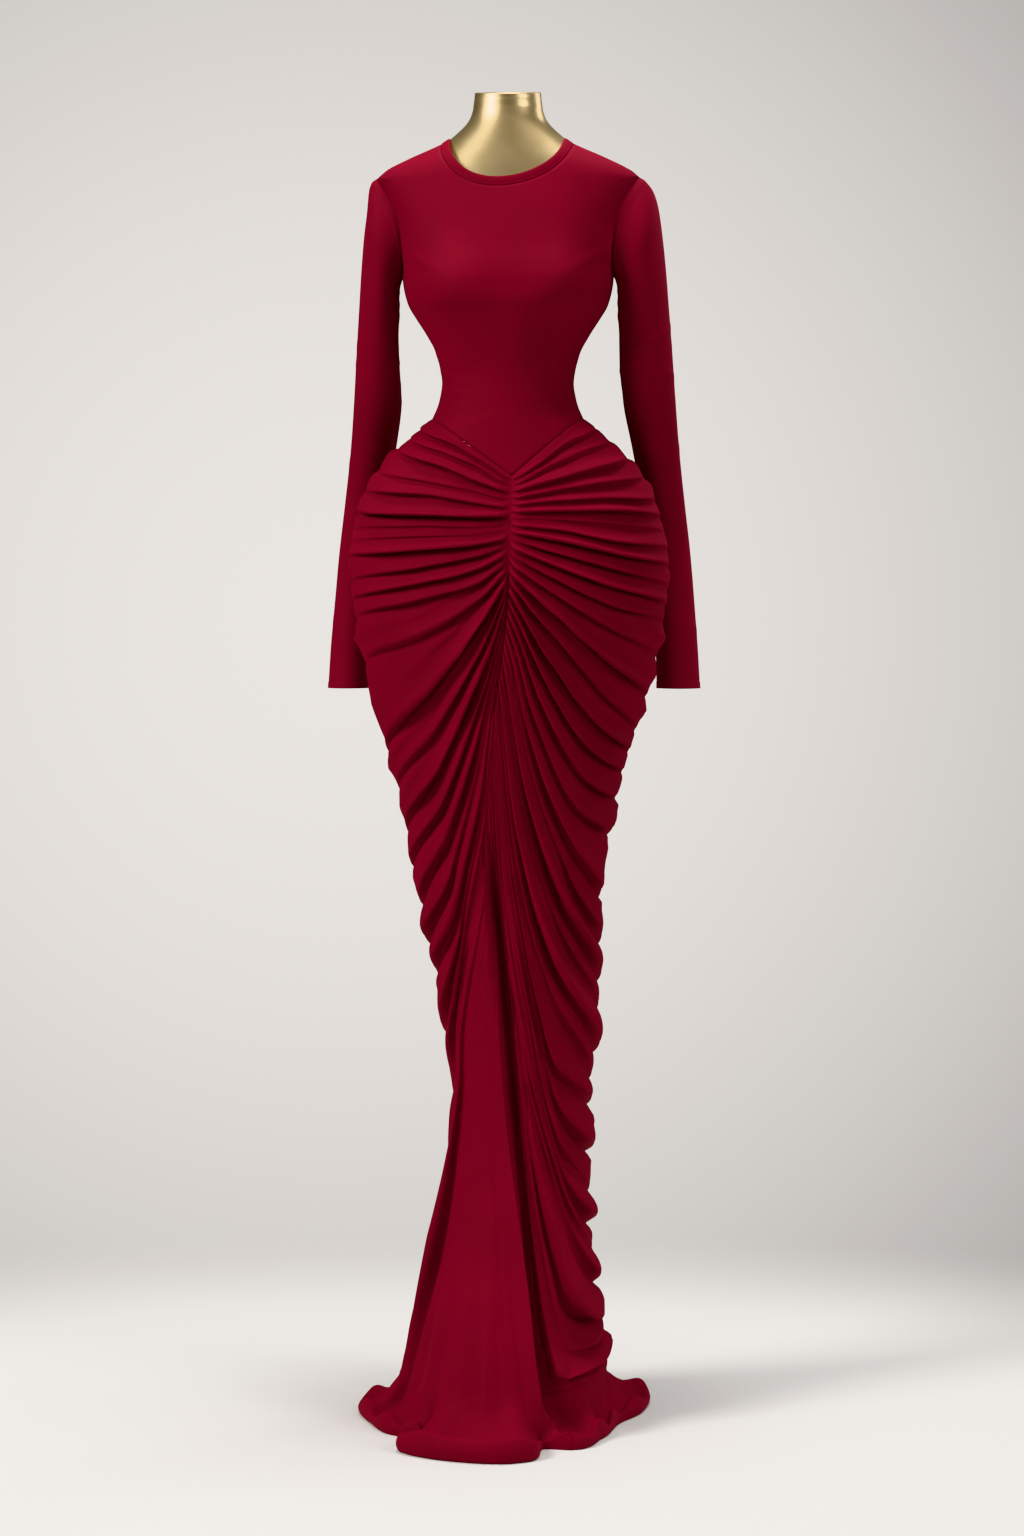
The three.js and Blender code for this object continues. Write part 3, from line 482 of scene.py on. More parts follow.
# A Mix node's sockets for two colours and their blend.
FIRST, SECOND, BLEND = 6, 7, 2


def linear(code):
    """A colour from sRGB hex to linear RGBA."""
    parts = [int(code[i:i + 2], 16) / 255 for i in (0, 2, 4)]
    return [p / 12.92 if p <= 0.04045 else ((p + 0.055) / 1.055) ** 2.4 for p in parts] + [1]


def add_node(tree, kind, settings=None, links=None):
    """Adds one node, sets its sockets and properties, and links its inputs."""
    node = tree.nodes.new(kind)
    for key, value in (settings or {}).items():
        if key in node.inputs:
            node.inputs[key].default_value = value
        else:
            setattr(node, key, value)
    for key, source in (links or {}).items():
        tree.links.new(source, node.inputs[key])
    return node


def new_material(name):
    """An empty material and its output."""
    material = bpy.data.materials.new(name)
    material.use_nodes = True
    tree = material.node_tree
    tree.nodes.clear()
    return material, tree


def crepe_jersey():
    """Crepe jersey, knitted from twisted yarn: a matte cloth with a pebbled face and a soft
    sheen where it turns away."""
    material, tree = new_material("crepe_jersey")
    place = add_node(tree, "ShaderNodeTexCoord").outputs["Object"]
    # Crepe pebbles are about 0.7 mm across, drawn at 1.1 mm so that they show.
    pebble = add_node(tree, "ShaderNodeTexNoise", {"Scale": 900, "Detail": 3, "Roughness": 0.62},
                      {"Vector": place})
    # Knit slubs run a few centimetres along the cloth.
    stretch = add_node(tree, "ShaderNodeMapping", {"Scale": (210, 210, 60)}, {"Vector": place})
    slub = add_node(tree, "ShaderNodeTexNoise", {"Scale": 1, "Detail": 2, "Roughness": 0.5},
                    {"Vector": stretch.outputs["Vector"]})
    # The dye takes a little unevenly over patches the size of a hand.
    patch = add_node(tree, "ShaderNodeTexNoise", {"Scale": 11, "Detail": 2, "Roughness": 0.5},
                     {"Vector": place})
    shade = add_node(tree, "ShaderNodeMix", {"data_type": "RGBA"}, {"Factor": patch.outputs["Fac"]})
    shade.inputs[FIRST].default_value = linear(CRIMSON_DEEP)
    shade.inputs[SECOND].default_value = linear(CRIMSON_LIGHT)
    grain = add_node(tree, "ShaderNodeMix",
                     {"data_type": "RGBA", "blend_type": "MULTIPLY", "Factor": 0.35})
    tree.links.new(shade.outputs[BLEND], grain.inputs[FIRST])
    ramp = add_node(tree, "ShaderNodeMapRange",
                    {"From Min": 0.3, "From Max": 0.7, "To Min": 0.72, "To Max": 1.12},
                    {"Value": pebble.outputs["Fac"]})
    tree.links.new(ramp.outputs["Result"], grain.inputs[SECOND])
    fine = add_node(tree, "ShaderNodeBump", {"Strength": 0.5, "Distance": 0.00018},
                    {"Height": pebble.outputs["Fac"]})
    both = add_node(tree, "ShaderNodeBump", {"Strength": 0.35, "Distance": 0.0003},
                    {"Height": slub.outputs["Fac"], "Normal": fine.outputs["Normal"]})
    rough = add_node(tree, "ShaderNodeMapRange", {"To Min": 0.66, "To Max": 0.84},
                     {"Value": pebble.outputs["Fac"]})
    shader = add_node(tree, "ShaderNodeBsdfPrincipled",
                      {"IOR": 1.46, "Specular IOR Level": 0.2, "Sheen Weight": 0.2,
                       "Sheen Roughness": 0.42, "Sheen Tint": linear(SHEEN_PINK)},
                      {"Base Color": grain.outputs[BLEND], "Roughness": rough.outputs["Result"],
                       "Normal": both.outputs["Normal"]})
    add_node(tree, "ShaderNodeOutputMaterial", {}, {"Surface": shader.outputs["BSDF"]})
    return material


def gold_lacquer():
    """Gold lacquer, sprayed on a moulded form and rubbed down: a satin metal with soft glints."""
    material, tree = new_material("gold_lacquer")
    place = add_node(tree, "ShaderNodeTexCoord").outputs["Object"]
    # Fine rubbing marks about 1 mm wide run round the form.
    stretch = add_node(tree, "ShaderNodeMapping", {"Scale": (60, 60, 900)}, {"Vector": place})
    marks = add_node(tree, "ShaderNodeTexNoise", {"Scale": 1, "Detail": 3, "Roughness": 0.6},
                     {"Vector": stretch.outputs["Vector"]})
    cloud = add_node(tree, "ShaderNodeTexNoise", {"Scale": 24, "Detail": 3, "Roughness": 0.55},
                     {"Vector": place})
    tint = add_node(tree, "ShaderNodeMix", {"data_type": "RGBA"}, {"Factor": cloud.outputs["Fac"]})
    tint.inputs[FIRST].default_value = linear(GOLD_DEEP)
    tint.inputs[SECOND].default_value = linear(GOLD_LACQUER)
    rough = add_node(tree, "ShaderNodeMapRange", {"To Min": 0.3, "To Max": 0.38},
                     {"Value": cloud.outputs["Fac"]})
    relief = add_node(tree, "ShaderNodeBump", {"Strength": 0.08, "Distance": 0.0001},
                      {"Height": marks.outputs["Fac"]})
    shader = add_node(tree, "ShaderNodeBsdfPrincipled", {"Metallic": 1.0},
                      {"Base Color": tint.outputs[BLEND], "Roughness": rough.outputs["Result"],
                       "Normal": relief.outputs["Normal"]})
    add_node(tree, "ShaderNodeOutputMaterial", {}, {"Surface": shader.outputs["BSDF"]})
    return material


def brushed_steel():
    """Brushed steel, as on a stand's pole and base: grey metal with fine lines round it."""
    material, tree = new_material("brushed_steel")
    place = add_node(tree, "ShaderNodeTexCoord").outputs["Object"]
    # Brushing lines are about 0.5 mm apart.
    stretch = add_node(tree, "ShaderNodeMapping", {"Scale": (40, 40, 2000)}, {"Vector": place})
    lines = add_node(tree, "ShaderNodeTexNoise", {"Scale": 1, "Detail": 4, "Roughness": 0.6},
                     {"Vector": stretch.outputs["Vector"]})
    tint = add_node(tree, "ShaderNodeMix", {"data_type": "RGBA"}, {"Factor": lines.outputs["Fac"]})
    tint.inputs[FIRST].default_value = linear(STEEL_DARK)
    tint.inputs[SECOND].default_value = linear(STEEL_GREY)
    rough = add_node(tree, "ShaderNodeMapRange", {"To Min": 0.26, "To Max": 0.44},
                     {"Value": lines.outputs["Fac"]})
    relief = add_node(tree, "ShaderNodeBump", {"Strength": 0.25, "Distance": 0.0001},
                      {"Height": lines.outputs["Fac"]})
    shader = add_node(tree, "ShaderNodeBsdfPrincipled", {"Metallic": 1.0},
                      {"Base Color": tint.outputs[BLEND], "Roughness": rough.outputs["Result"],
                       "Normal": relief.outputs["Normal"]})
    add_node(tree, "ShaderNodeOutputMaterial", {}, {"Surface": shader.outputs["BSDF"]})
    return material


JERSEY = crepe_jersey()
GOLD = gold_lacquer()
STEEL = brushed_steel()


# Points closer than this are one point, and an edge shorter than this is none, in metres.
SAME_PLACE, NO_LENGTH = 0.00002, 0.000005


def lay_grid(bm, points):
    """Adds a grid to the bmesh and lays it over the points, which are rows in millimetres."""
    rows, columns = points.shape[:2]
    made = bmesh.ops.create_grid(bm, x_segments=columns - 1, y_segments=rows - 1, size=1)
    for vertex, place in zip(made["verts"], points.reshape(-1, 3) * MM):
        vertex.co = place


def piece(name, grids, material, thickness=CLOTH, outside=None):
    """A piece made of grids that meet edge to edge, with a wall's thickness inside it."""
    bm = bmesh.new()
    for points in grids:
        lay_grid(bm, points)
    bmesh.ops.remove_doubles(bm, verts=bm.verts, dist=SAME_PLACE)
    bmesh.ops.dissolve_degenerate(bm, dist=NO_LENGTH, edges=bm.edges)
    bmesh.ops.recalc_face_normals(bm, faces=bm.faces)
    if outside is not None:
        bm.faces.ensure_lookup_table()
        middle = max(bm.faces, key=lambda f: f.calc_area())
        if middle.normal.dot(outside(middle.calc_center_median())) < 0:
            bmesh.ops.reverse_faces(bm, faces=bm.faces)
    mesh = bpy.data.meshes.new(name)
    bm.to_mesh(mesh)
    bm.free()
    mesh.polygons.foreach_set("use_smooth", [True] * len(mesh.polygons))
    shape = bpy.data.objects.new(name, mesh)
    bpy.context.scene.collection.objects.link(shape)
    mesh.materials.append(material)
    if thickness:
        wall = shape.modifiers.new("wall", "SOLIDIFY")
        wall.thickness = thickness * MM
        wall.offset = -1
        wall.use_rim = True
        wall.use_quality_normals = True
    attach(shape, "root")
    return shape


def from_axis(place):
    """The direction away from the figure's upright middle line."""
    return Vector((place.x, place.y, 0.0))


def on_cloth(angle, w, rise, shift_x=0.0, shift_y=0.0):
    """Places on the cloth, raised along its outward direction and shifted to leave a seam."""
    at = cloth_point(angle, w) + cloth_normal(angle, w) * np.asarray(rise)[..., None]
    at[..., 0] += shift_x
    at[..., 1] += shift_y
    return at


# A hook's own number is the greatest drop of its fold before the side seam.
HOOK_PEAK = 12.2
# The seam heights between which folds change from those of the skirt to those of the hips.
HIPS_LOW, HIPS_HIGH = 985, 1040
# How much higher than its table a fold stands below the hips and on them, up to a share of the gap.
TALL_BELOW, TALL_HIPS, TALL_LIMIT = 1.5, 1.2, 0.9
# How unevenly a fold stands along its way and against its neighbours.
UNEVEN_ALONG, UNEVEN_WAVES, UNEVEN_BETWEEN, UNEVEN_TURN = 0.2, 7, 0.25, 2.4
# How much lower folds get towards the side seam, below the hips and on them, and from where.
FADE_BELOW, FADE_HIPS, FADE_FROM = 0.4, 0.8, 0.74
# Every other fold below the hips is this much lower on its way to the side seam.
MINOR, MINOR_FULL, MINOR_END = 0.72, 0.6, 0.95
MINOR_NEAR, MINOR_SPAN, MINOR_LOW, MINOR_HIGH = 0.02, 0.1, 905, 935
# The steep side below a crest and the gentle side above it: a share of the gap, the least width,
# and the most below the hips and on them.
STEEP_SHARE, STEEP_LEAST, STEEP_BELOW, STEEP_HIPS = 0.19, 0.5, 5.5, 2.6
GENTLE_SHARE, GENTLE_LEAST, GENTLE_BELOW, GENTLE_HIPS, GENTLE_FALL = 0.5, 0.8, 20.0, 5.5, 1.6
# The hollow under a crest: its depth, its place and spread in steep sides, and the gaps it needs.
HOLLOW, HOLLOW_AT, HOLLOW_SPREAD, HOLLOW_GAP, HOLLOW_FULL = 0.5, 2.1, 1.1, 6, 14
# Where two folds run together, the lower one adds this share of its height.
MERGE = 0.3
# The cloth swells out between wide folds near the side seam, and is pinched at the centre front.
BILLOW, BILLOW_FROM, BILLOW_GAP, BILLOW_FULL = 6.0, 0.72, 12, 40
PINCH = 9.0
# Fine gathers beside the seam: height, distance, reach, count, wobble, and the seam heights they need.
GATHER, GATHER_AT, GATHER_REACH, GATHER_COUNT, GATHER_WOBBLE = 1.5, 12, 46, 2, 0.13
GATHER_LOW, GATHER_HIGH, GATHER_WAVES, GATHER_SEED = 880, 970, 9, 0.5
# Small folds between wide ones: height, widest gap, half width, the gaps they need, where they start.
SMALL, SMALL_MOST, SMALL_HALF, SMALL_GAP, SMALL_FULL = 0.12, 34, 4.2, 30, 44
SMALL_BEGINS, SMALL_GROWN, SMALL_FALL = 0.2, 0.42, 1.6
# Their place in the gap and how it and their height wander along the fold.
SMALL_MIDDLE, SMALL_WOBBLE, SMALL_WAVES, SMALL_SEED = 0.46, 0.1, 5, 0.3
SMALL_STEADY, SMALL_UNEVEN, SMALL_RIPPLES, SMALL_TURN = 0.62, 0.38, 6, 1.7
# How far a crest hangs over the hollow below it, as a share of its height and of the gap, and where
# along the fold that starts to fade.
LEAN, LEAN_LIMIT, LEAN_END = 0.7, 0.34, 0.85
# Below the gathers the cloth falls into a trough along the centre-front seam, wide on the
# wearer's left and narrow beside the flat panel. It starts and is deepest this far below them.
TROUGH, TROUGH_LEFT, TROUGH_RIGHT = 26.0, 15.0, 6.5
TROUGH_BEGINS, TROUGH_FULL = 70, 190
# The last fold dies away in its lower rows.
LAST_FADE = 6
# The grid's rows to a fold and its columns, and how much closer they lie below a crest and at the seam.
FOLD_ROWS, ROW_CROWDING = 12, 1.3
FOLD_COLUMNS, COLUMN_CROWDING = 104, 1.35
HEM_ROWS, HEM_FADE = 44, 6
FLAT_FOLD = np.zeros(LEFT_FOLDS.shape[1])


def fold_lines(folds, side, t):
    """The angle and height of every fold line of a front panel, with the waist seam above the
    first and the centre-front line below the last, at the shares t of the way along them."""
    angles, heights = [], []
    start = float(centre_angle(WAIST_FRONT))
    waist = mix(start, side * 90 * TURN, t)
    angles.append(waist)
    heights.append(waist_w(waist, WAIST_FRONT, float(centre_front(WAIST_FRONT))))
    for f in folds:
        places = np.array([
            [0, 0, f[START]],
            [1 / 3, angle_at(f[X1], f[Z1]) - centre_angle(f[Z1]), f[Z1]],
            [2 / 3, angle_at(f[X2], f[Z2]) - centre_angle(f[Z2]), f[Z2]],
            [1, f[END_ANGLE] * TURN - centre_angle(f[END_Z]), f[END_Z]],
        ])
        away = curve(places, 0, 1)(t)
        w = curve(places, 0, 2)(t)
        angles.append(centre_angle(w) + away)
        heights.append(w - f[HOOK] * HOOK_PEAK * t ** 4 * (1 - t))
    w = mix(GATHER_END, KNEE, t)
    angles.append(centre_angle(w))
    heights.append(w)
    return np.array(angles), np.array(heights)


def on_hips(fold):
    """1 for a fold of the hips, 0 for one of the skirt below them."""
    return ease(HIPS_LOW, HIPS_HIGH, fold[START])


def fold_height(fold, number, spacing, t):
    """How high a fold's crest stands along its way."""
    hips = on_hips(fold)
    minor = MINOR * (1 - hips) if number % 2 else 0.0
    near = ease(MINOR_LOW, MINOR_HIGH, fold[START])
    leaving = ease(MINOR_NEAR * near, MINOR_NEAR + MINOR_SPAN * near, t)
    reach = 1 - minor * ease(MINOR_END, MINOR_FULL, t) * leaving
    uneven = 1 + UNEVEN_ALONG * wander(t * UNEVEN_WAVES, number)
    uneven = uneven + UNEVEN_BETWEEN * math.sin(number * UNEVEN_TURN)
    tallest = fold[RISE] * mix(TALL_BELOW, TALL_HIPS, hips)
    high = np.minimum(tallest, TALL_LIMIT * spacing) * uneven * reach
    return high * (1 - mix(FADE_BELOW, FADE_HIPS, hips) * ease(FADE_FROM, 1, t))


def crests(upper, lower, share, spacing, t, number):
    """The two crests at either side of a gap, with a hollow tucked under the upper one."""
    high = fold_height(upper, number, spacing, t)
    steep = np.clip(STEEP_SHARE * spacing, STEEP_LEAST, mix(STEEP_BELOW, STEEP_HIPS, on_hips(upper)))
    below = share * spacing / steep
    first = high * np.exp(-below ** 2)
    hollow = HOLLOW * high * bump(below, HOLLOW_AT, HOLLOW_SPREAD) * ease(HOLLOW_GAP, HOLLOW_FULL, spacing)
    slope = mix(GENTLE_BELOW, GENTLE_HIPS, on_hips(lower))
    above = (1 - share) * spacing / np.clip(GENTLE_SHARE * spacing, GENTLE_LEAST, slope)
    second = fold_height(lower, number + 1, spacing, t) * np.exp(-above ** GENTLE_FALL)
    return np.maximum(first, second) + MERGE * np.minimum(first, second) - hollow


def fine_gathers(upper, share, length, t, number):
    """The small pleats where the cloth is drawn onto the centre-front seam."""
    turns = GATHER_COUNT * share + GATHER_WOBBLE * wander(t * GATHER_WAVES, number + GATHER_SEED)
    wave = 0.5 - 0.5 * np.cos(2 * math.pi * turns)
    return GATHER * wave * bump(length, GATHER_AT, GATHER_REACH) * ease(GATHER_LOW, GATHER_HIGH, upper[START])


def small_fold(share, spacing, t, number):
    """A thin fold that lies loose between two wide ones."""
    middle = SMALL_MIDDLE + SMALL_WOBBLE * wander(t * SMALL_WAVES, number + SMALL_SEED)
    thin = np.exp(-np.abs((share - middle) * spacing / SMALL_HALF) ** SMALL_FALL)
    small = SMALL * np.minimum(spacing, SMALL_MOST) * thin * ease(SMALL_GAP, SMALL_FULL, spacing)
    uneven = SMALL_STEADY + SMALL_UNEVEN * wander(t * SMALL_RIPPLES, number * SMALL_TURN)
    return small * ease(SMALL_BEGINS, SMALL_GROWN, t) * uneven


def fold_rise(upper, lower, share, spacing, t, length, number):
    """How far the cloth stands out between two fold lines, a share of the gap below the upper."""
    main = crests(upper, lower, share, spacing, t, number)
    gathers = fine_gathers(upper, share, length, t, number)
    small = small_fold(share, spacing, t, number)
    seam = 1 - np.exp(-((length / PINCH) ** 2))
    swell = BILLOW * np.sin(math.pi * share) * ease(BILLOW_FROM, 1, t)
    swell = swell * ease(BILLOW_GAP, BILLOW_FULL, spacing)
    return (main + gathers + small) * seam + swell


def front_panel(name, folds, side):
    """A front skirt panel: its folds' rows, then the hem below the rows that reach the floor.
    Returns the piece and its side seam's heights and rises."""
    t = np.linspace(0, 1, FOLD_COLUMNS) ** COLUMN_CROWDING
    angles, heights = fold_lines(folds, side, t)
    shapes = np.vstack([FLAT_FOLD, folds, FLAT_FOLD])
    rows_angle, rows_w, rows_rise, rows_lean = [], [], [], []
    for i in range(len(shapes) - 1):
        a = cloth_point(angles[i], heights[i])
        along = unit(np.gradient(a, axis=0))
        gap = cloth_point(angles[i + 1], heights[i + 1]) - a
        gap = gap - along * np.sum(gap * along, axis=-1, keepdims=True)
        spacing = np.linalg.norm(gap, axis=-1)
        length = np.linalg.norm(a - a[:1], axis=-1)
        last = i == len(shapes) - 2
        for k in range(FOLD_ROWS + (1 if last else 0)):
            share = (k / FOLD_ROWS) ** ROW_CROWDING
            rise = fold_rise(shapes[i], shapes[i + 1], share, spacing, t, length, i)
            if last:
                rise = rise * (1 - share ** LAST_FADE)
            lean = np.clip(LEAN * rise, 0, LEAN_LIMIT * spacing) * ease(1, LEAN_END, t)
            rows_angle.append(mix(angles[i], angles[i + 1], share))
            rows_w.append(mix(heights[i], heights[i + 1], share))
            rows_rise.append(rise)
            rows_lean.append(unit(gap) * lean[:, None])
    angle, w, rise = np.array(rows_angle), np.array(rows_w), np.array(rows_rise)
    from_line = np.abs(cloth_point(angle, w)[..., 0] - centre_front(w))
    deep = TROUGH * ease(GATHER_END - TROUGH_BEGINS, GATHER_END - TROUGH_FULL, w)
    rise = rise - deep * bump(from_line, 0, TROUGH_LEFT if side > 0 else TROUGH_RIGHT)
    rise = sink_seams(rise, angle, w)
    shift = np.zeros(angle.shape)
    shift[:, 0] = side * SEAM_GAP / 2
    shift[-1, :] = side * SEAM_GAP / 2
    on_side = np.zeros(angle.shape)
    at_side = np.abs(np.abs(angle[:, -1]) - math.pi / 2) < TINY
    on_side[:, -1] = np.where(at_side, -SEAM_GAP / 2, 0)
    panel = on_cloth(angle, w, rise, shift, on_side) + np.array(rows_lean)
    corner = int(np.argmax(w[:, -1] <= KNEE + TINY))
    hem = hem_grid(angle[corner:, -1], rise[corner:, -1], shift[corner:, -1], on_side[corner:, -1])
    shape = piece(name, [panel, hem], JERSEY, outside=from_axis)
    return shape, (w[:corner + 1, -1], rise[:corner + 1, -1])


def sink_seams(rise, angle, w):
    """Draws the cloth in a little beside the waist seam and the side seams."""
    top = waist_w(angle[:1], WAIST_FRONT, float(centre_front(WAIST_FRONT)))
    from_waist = np.abs(w - top)
    from_side = np.abs(math.pi / 2 - np.abs(angle)) * half_width(w)
    return rise - SEAM_GROOVE * (bump(from_waist, 0, SEAM_SPREAD) + bump(from_side, 0, SEAM_SPREAD))


def hem_grid(angle, rise, shift_x, shift_y):
    """The hem below a row of points at its knee: it turns out along the floor and tucks under."""
    down = np.linspace(0, 1, HEM_ROWS)
    w = KNEE - HEM_DROP * down[:, None] + 0 * angle[None, :]
    fade = 1 - ease(0, HEM_FADE, HEM_DROP * down / HEM_STEP)
    return on_cloth(angle[None, :] + 0 * w, w, rise[None, :] * fade[:, None], shift_x, shift_y)


# How deep the back's lines hang, how many columns it has, and how far its seams lie apart.
BACK_SAG, BACK_COLUMNS, BACK_WIDTH = 26.0, 72, 120
# How much lower the folds get round the back, between which shares of it, and where they end.
BACK_FADE, BACK_FADE_BEGINS, BACK_FADE_FULL, BACK_FLAT = 0.6, 0.2, 0.8, 0.86


def back_panel(name, side, seam):
    """A back skirt panel: lines that hang in shallow curves from the side seam to the centre
    back. The front's folds run on along them, lower and lower."""
    start_w, start_rise = seam
    t = np.linspace(0, 1, BACK_COLUMNS)
    share = ((WAIST_SIDE - start_w) / (WAIST_SIDE - KNEE))[:, None]
    angle = side * mix(90, 180, t)[None, :] * TURN + 0 * share
    sag = BACK_SAG * np.sin(math.pi * share) * np.sin(math.pi * t)[None, :]
    w = mix(start_w[:, None], mix(WAIST_BACK, KNEE, share), t[None, :]) - sag
    w[0] = waist_w(math.pi - angle[0], WAIST_BACK, 0.0)
    w[-1] = KNEE
    fade = (1 - BACK_FADE * ease(BACK_FADE_BEGINS, BACK_FADE_FULL, t)) * (1 - ease(BACK_FLAT, 1, t))
    rise = start_rise[:, None] * fade[None, :]
    from_centre = (1 - t)[None, :] * BACK_WIDTH + 0 * w
    rise = rise - SEAM_GROOVE * bump(from_centre, 0, SEAM_SPREAD)
    shift_x = np.zeros(w.shape)
    shift_x[:, -1] = side * SEAM_GAP / 2
    shift_y = np.zeros(w.shape)
    shift_y[:, 0] = SEAM_GAP / 2
    panel = on_cloth(angle, w, rise, shift_x, shift_y)
    hem = hem_grid(angle[-1], rise[-1], shift_x[-1], shift_y[-1])
    return piece(name, [panel, hem], JERSEY, outside=from_axis)


# The shares of a bodice piece's side edge at which the armhole begins and ends.
ARM_BEGIN, ARM_END = 0.42, 0.86


def arm_start(facing):
    """Where an armhole's half begins, as a turn from its lowest point to the side seam."""
    return math.asin(-ARM_Y * facing / ARM_HALF_Y)


def side_edge(v, facing):
    """A bodice piece's side edge from the waist up: side seam, armhole, shoulder seam. Gives the
    angle from the front or back, and the height."""
    tip = math.sqrt(1 - (ARM_Y / ARM_HALF_Y) ** 2) * ARM_HALF_Z
    start = arm_start(facing)
    turn = mix(start, math.pi - start, np.clip((v - ARM_BEGIN) / (ARM_END - ARM_BEGIN), 0, 1))
    arm_w = ARM_Z - np.cos(turn) * ARM_HALF_Z
    y = ARM_Y * facing + np.sin(turn) * ARM_HALF_Y
    depth = front_depth(arm_w) if facing < 0 else back_depth(arm_w)
    arm_angle = np.arccos(np.clip(y / depth, -1, 1))
    seam_w = mix(WAIST_SIDE, ARM_Z - tip, v / ARM_BEGIN)
    shoulder_w = mix(ARM_Z + tip, NECK_Z, (v - ARM_END) / (1 - ARM_END))
    w = np.where(v < ARM_BEGIN, seam_w, np.where(v > ARM_END, shoulder_w, arm_w))
    angle = np.where((v < ARM_BEGIN) | (v > ARM_END), math.pi / 2, arm_angle)
    return angle, w


def neck_edge(u, facing):
    """The neckline as half an oval hung between the shoulders: angle and height."""
    drop = NECK_FRONT if facing < 0 else NECK_BACK
    low_x = NECK_LOW_X if facing < 0 else 0.0
    turn = u * math.pi / 2
    w = NECK_Z - drop * np.cos(turn)
    x = half_width(NECK_Z) * np.sin(turn) + low_x * np.cos(turn) ** 2
    return np.arcsin(np.clip((x - centre_x(w)) / half_width(w), -1, 1)), w


# A bodice piece's rows and columns, half its width, and how strongly its middle ignores its sides.
BODICE_SIZE, BODICE_HALF, BODICE_CALM = 116, 150, 3


def bodice(name, facing):
    """A bodice piece stretched over its four edges, drawn in along its seams."""
    u = np.linspace(-1, 1, BODICE_SIZE)[None, :]
    v = np.linspace(0, 1, BODICE_SIZE)[:, None]
    if facing < 0:
        start = float(centre_angle(WAIST_FRONT))
        low_angle = np.where(u < 0, mix(start, -math.pi / 2, -u), mix(start, math.pi / 2, u))
        low_w = waist_w(low_angle, WAIST_FRONT, float(centre_front(WAIST_FRONT)))
    else:
        low_angle = u * math.pi / 2
        low_w = waist_w(low_angle, WAIST_BACK, 0.0)
    high_angle, high_w = neck_edge(u, facing)
    edge_angle, edge_w = side_edge(v, facing)
    edge_share = (edge_w - WAIST_SIDE) / (NECK_Z - WAIST_SIDE)
    share = mix(v, edge_share, np.abs(u) ** BODICE_CALM)
    angle = mix(low_angle, high_angle, share) + u * (edge_angle - math.pi / 2)
    w = mix(low_w, high_w, share)
    w[0] += 0.5 * SEAM_GAP
    from_waist = w - low_w
    from_side = (1 - np.abs(u)) * BODICE_HALF + 0 * v
    rise = np.zeros(w.shape)
    rise -= SEAM_GROOVE * bump(from_waist, 0, SEAM_SPREAD)
    rise -= SEAM_GROOVE * bump(from_side, 0, SEAM_SPREAD)
    rise += drag_lines(angle, w, facing)
    if facing > 0:
        angle = math.pi - angle
    shift_y = np.zeros(w.shape)
    seam = (v[:, 0] <= ARM_BEGIN) | (v[:, 0] >= ARM_END)
    shift_y[seam, 0] = facing * SEAM_GAP / 2
    shift_y[seam, -1] = facing * SEAM_GAP / 2
    return piece(name, [on_cloth(angle, w, rise, 0.0, shift_y)], JERSEY, outside=from_axis)


# Soft creases in the bodice: angle, height, rise, spread across and up, and slant.
DRAG_FRONT = [
    [-58, 1300, 1.6, 22, 5, 0.35],
    [-48, 1282, 1.4, 20, 4, 0.2],
    [-66, 1322, 1.3, 18, 5, 0.5],
    [54, 1296, 1.5, 22, 5, -0.3],
    [64, 1318, 1.3, 18, 5, -0.5],
    [46, 1276, 1.2, 20, 4, -0.2],
    [-50, 1440, 1.5, 14, 8, 1.1],
    [50, 1442, 1.4, 14, 8, -1.1],
    [-22, 1240, 0.9, 16, 5, -0.6],
    [24, 1236, 0.9, 16, 5, 0.6],
]
DRAG_BACK = [
    [-52, 1300, 1.8, 24, 5, 0.3],
    [-40, 1278, 1.6, 26, 5, 0.15],
    [50, 1296, 1.7, 24, 5, -0.3],
    [38, 1272, 1.5, 26, 5, -0.15],
    [0, 1286, 1.2, 30, 6, 0.0],
    [-44, 1440, 1.4, 14, 8, 1.0],
    [44, 1440, 1.4, 14, 8, -1.0],
]


def drag_lines(angle, w, facing):
    """The height of the bodice's soft creases."""
    rise = np.zeros(np.broadcast(angle, w).shape)
    creases = DRAG_FRONT if facing < 0 else DRAG_BACK
    for middle, height, size, across, up, slant in creases:
        along = angle / TURN - middle
        rise += size * bump(along, 0, across) * bump(w - height + slant * along, 0, up)
    return rise


# The sleeve head: how far down the rings it reaches, its rows, and how far it leaves the armhole
# outwards and down, under the arm and over the shoulder.
HEAD_END, HEAD_ROWS, HEAD_CURVE = 1.8, 40, 1.5
HEAD_OUT_UNDER, HEAD_OUT_OVER, HEAD_DOWN_UNDER, HEAD_DOWN_OVER = 4, 38, -20, -26
# How strongly the head follows the arm's direction under the arm, and how far on that is read.
HEAD_PULL_UNDER, RING_STEP = 0.5, 0.25
SLEEVE_ROUND = 96
SLEEVE_ROWS = 190
# The head's soft puff beside the armhole: rise, place and spread along the rings.
PUFF, PUFF_AT, PUFF_SPREAD = 0.7, 0.3, 0.16
# The cuff's stitched line: how far from the last ring, depth and spread, and the fold's extra thickness.
CUFF, STITCH_DEPTH, STITCH_SPREAD = 0.85, 0.7, 0.035
CUFF_RISE, CUFF_BLEND = 0.25, 0.1
# How near in height, in metres, the points of a ring lie that give its middle.
RING_NEAR = 0.006

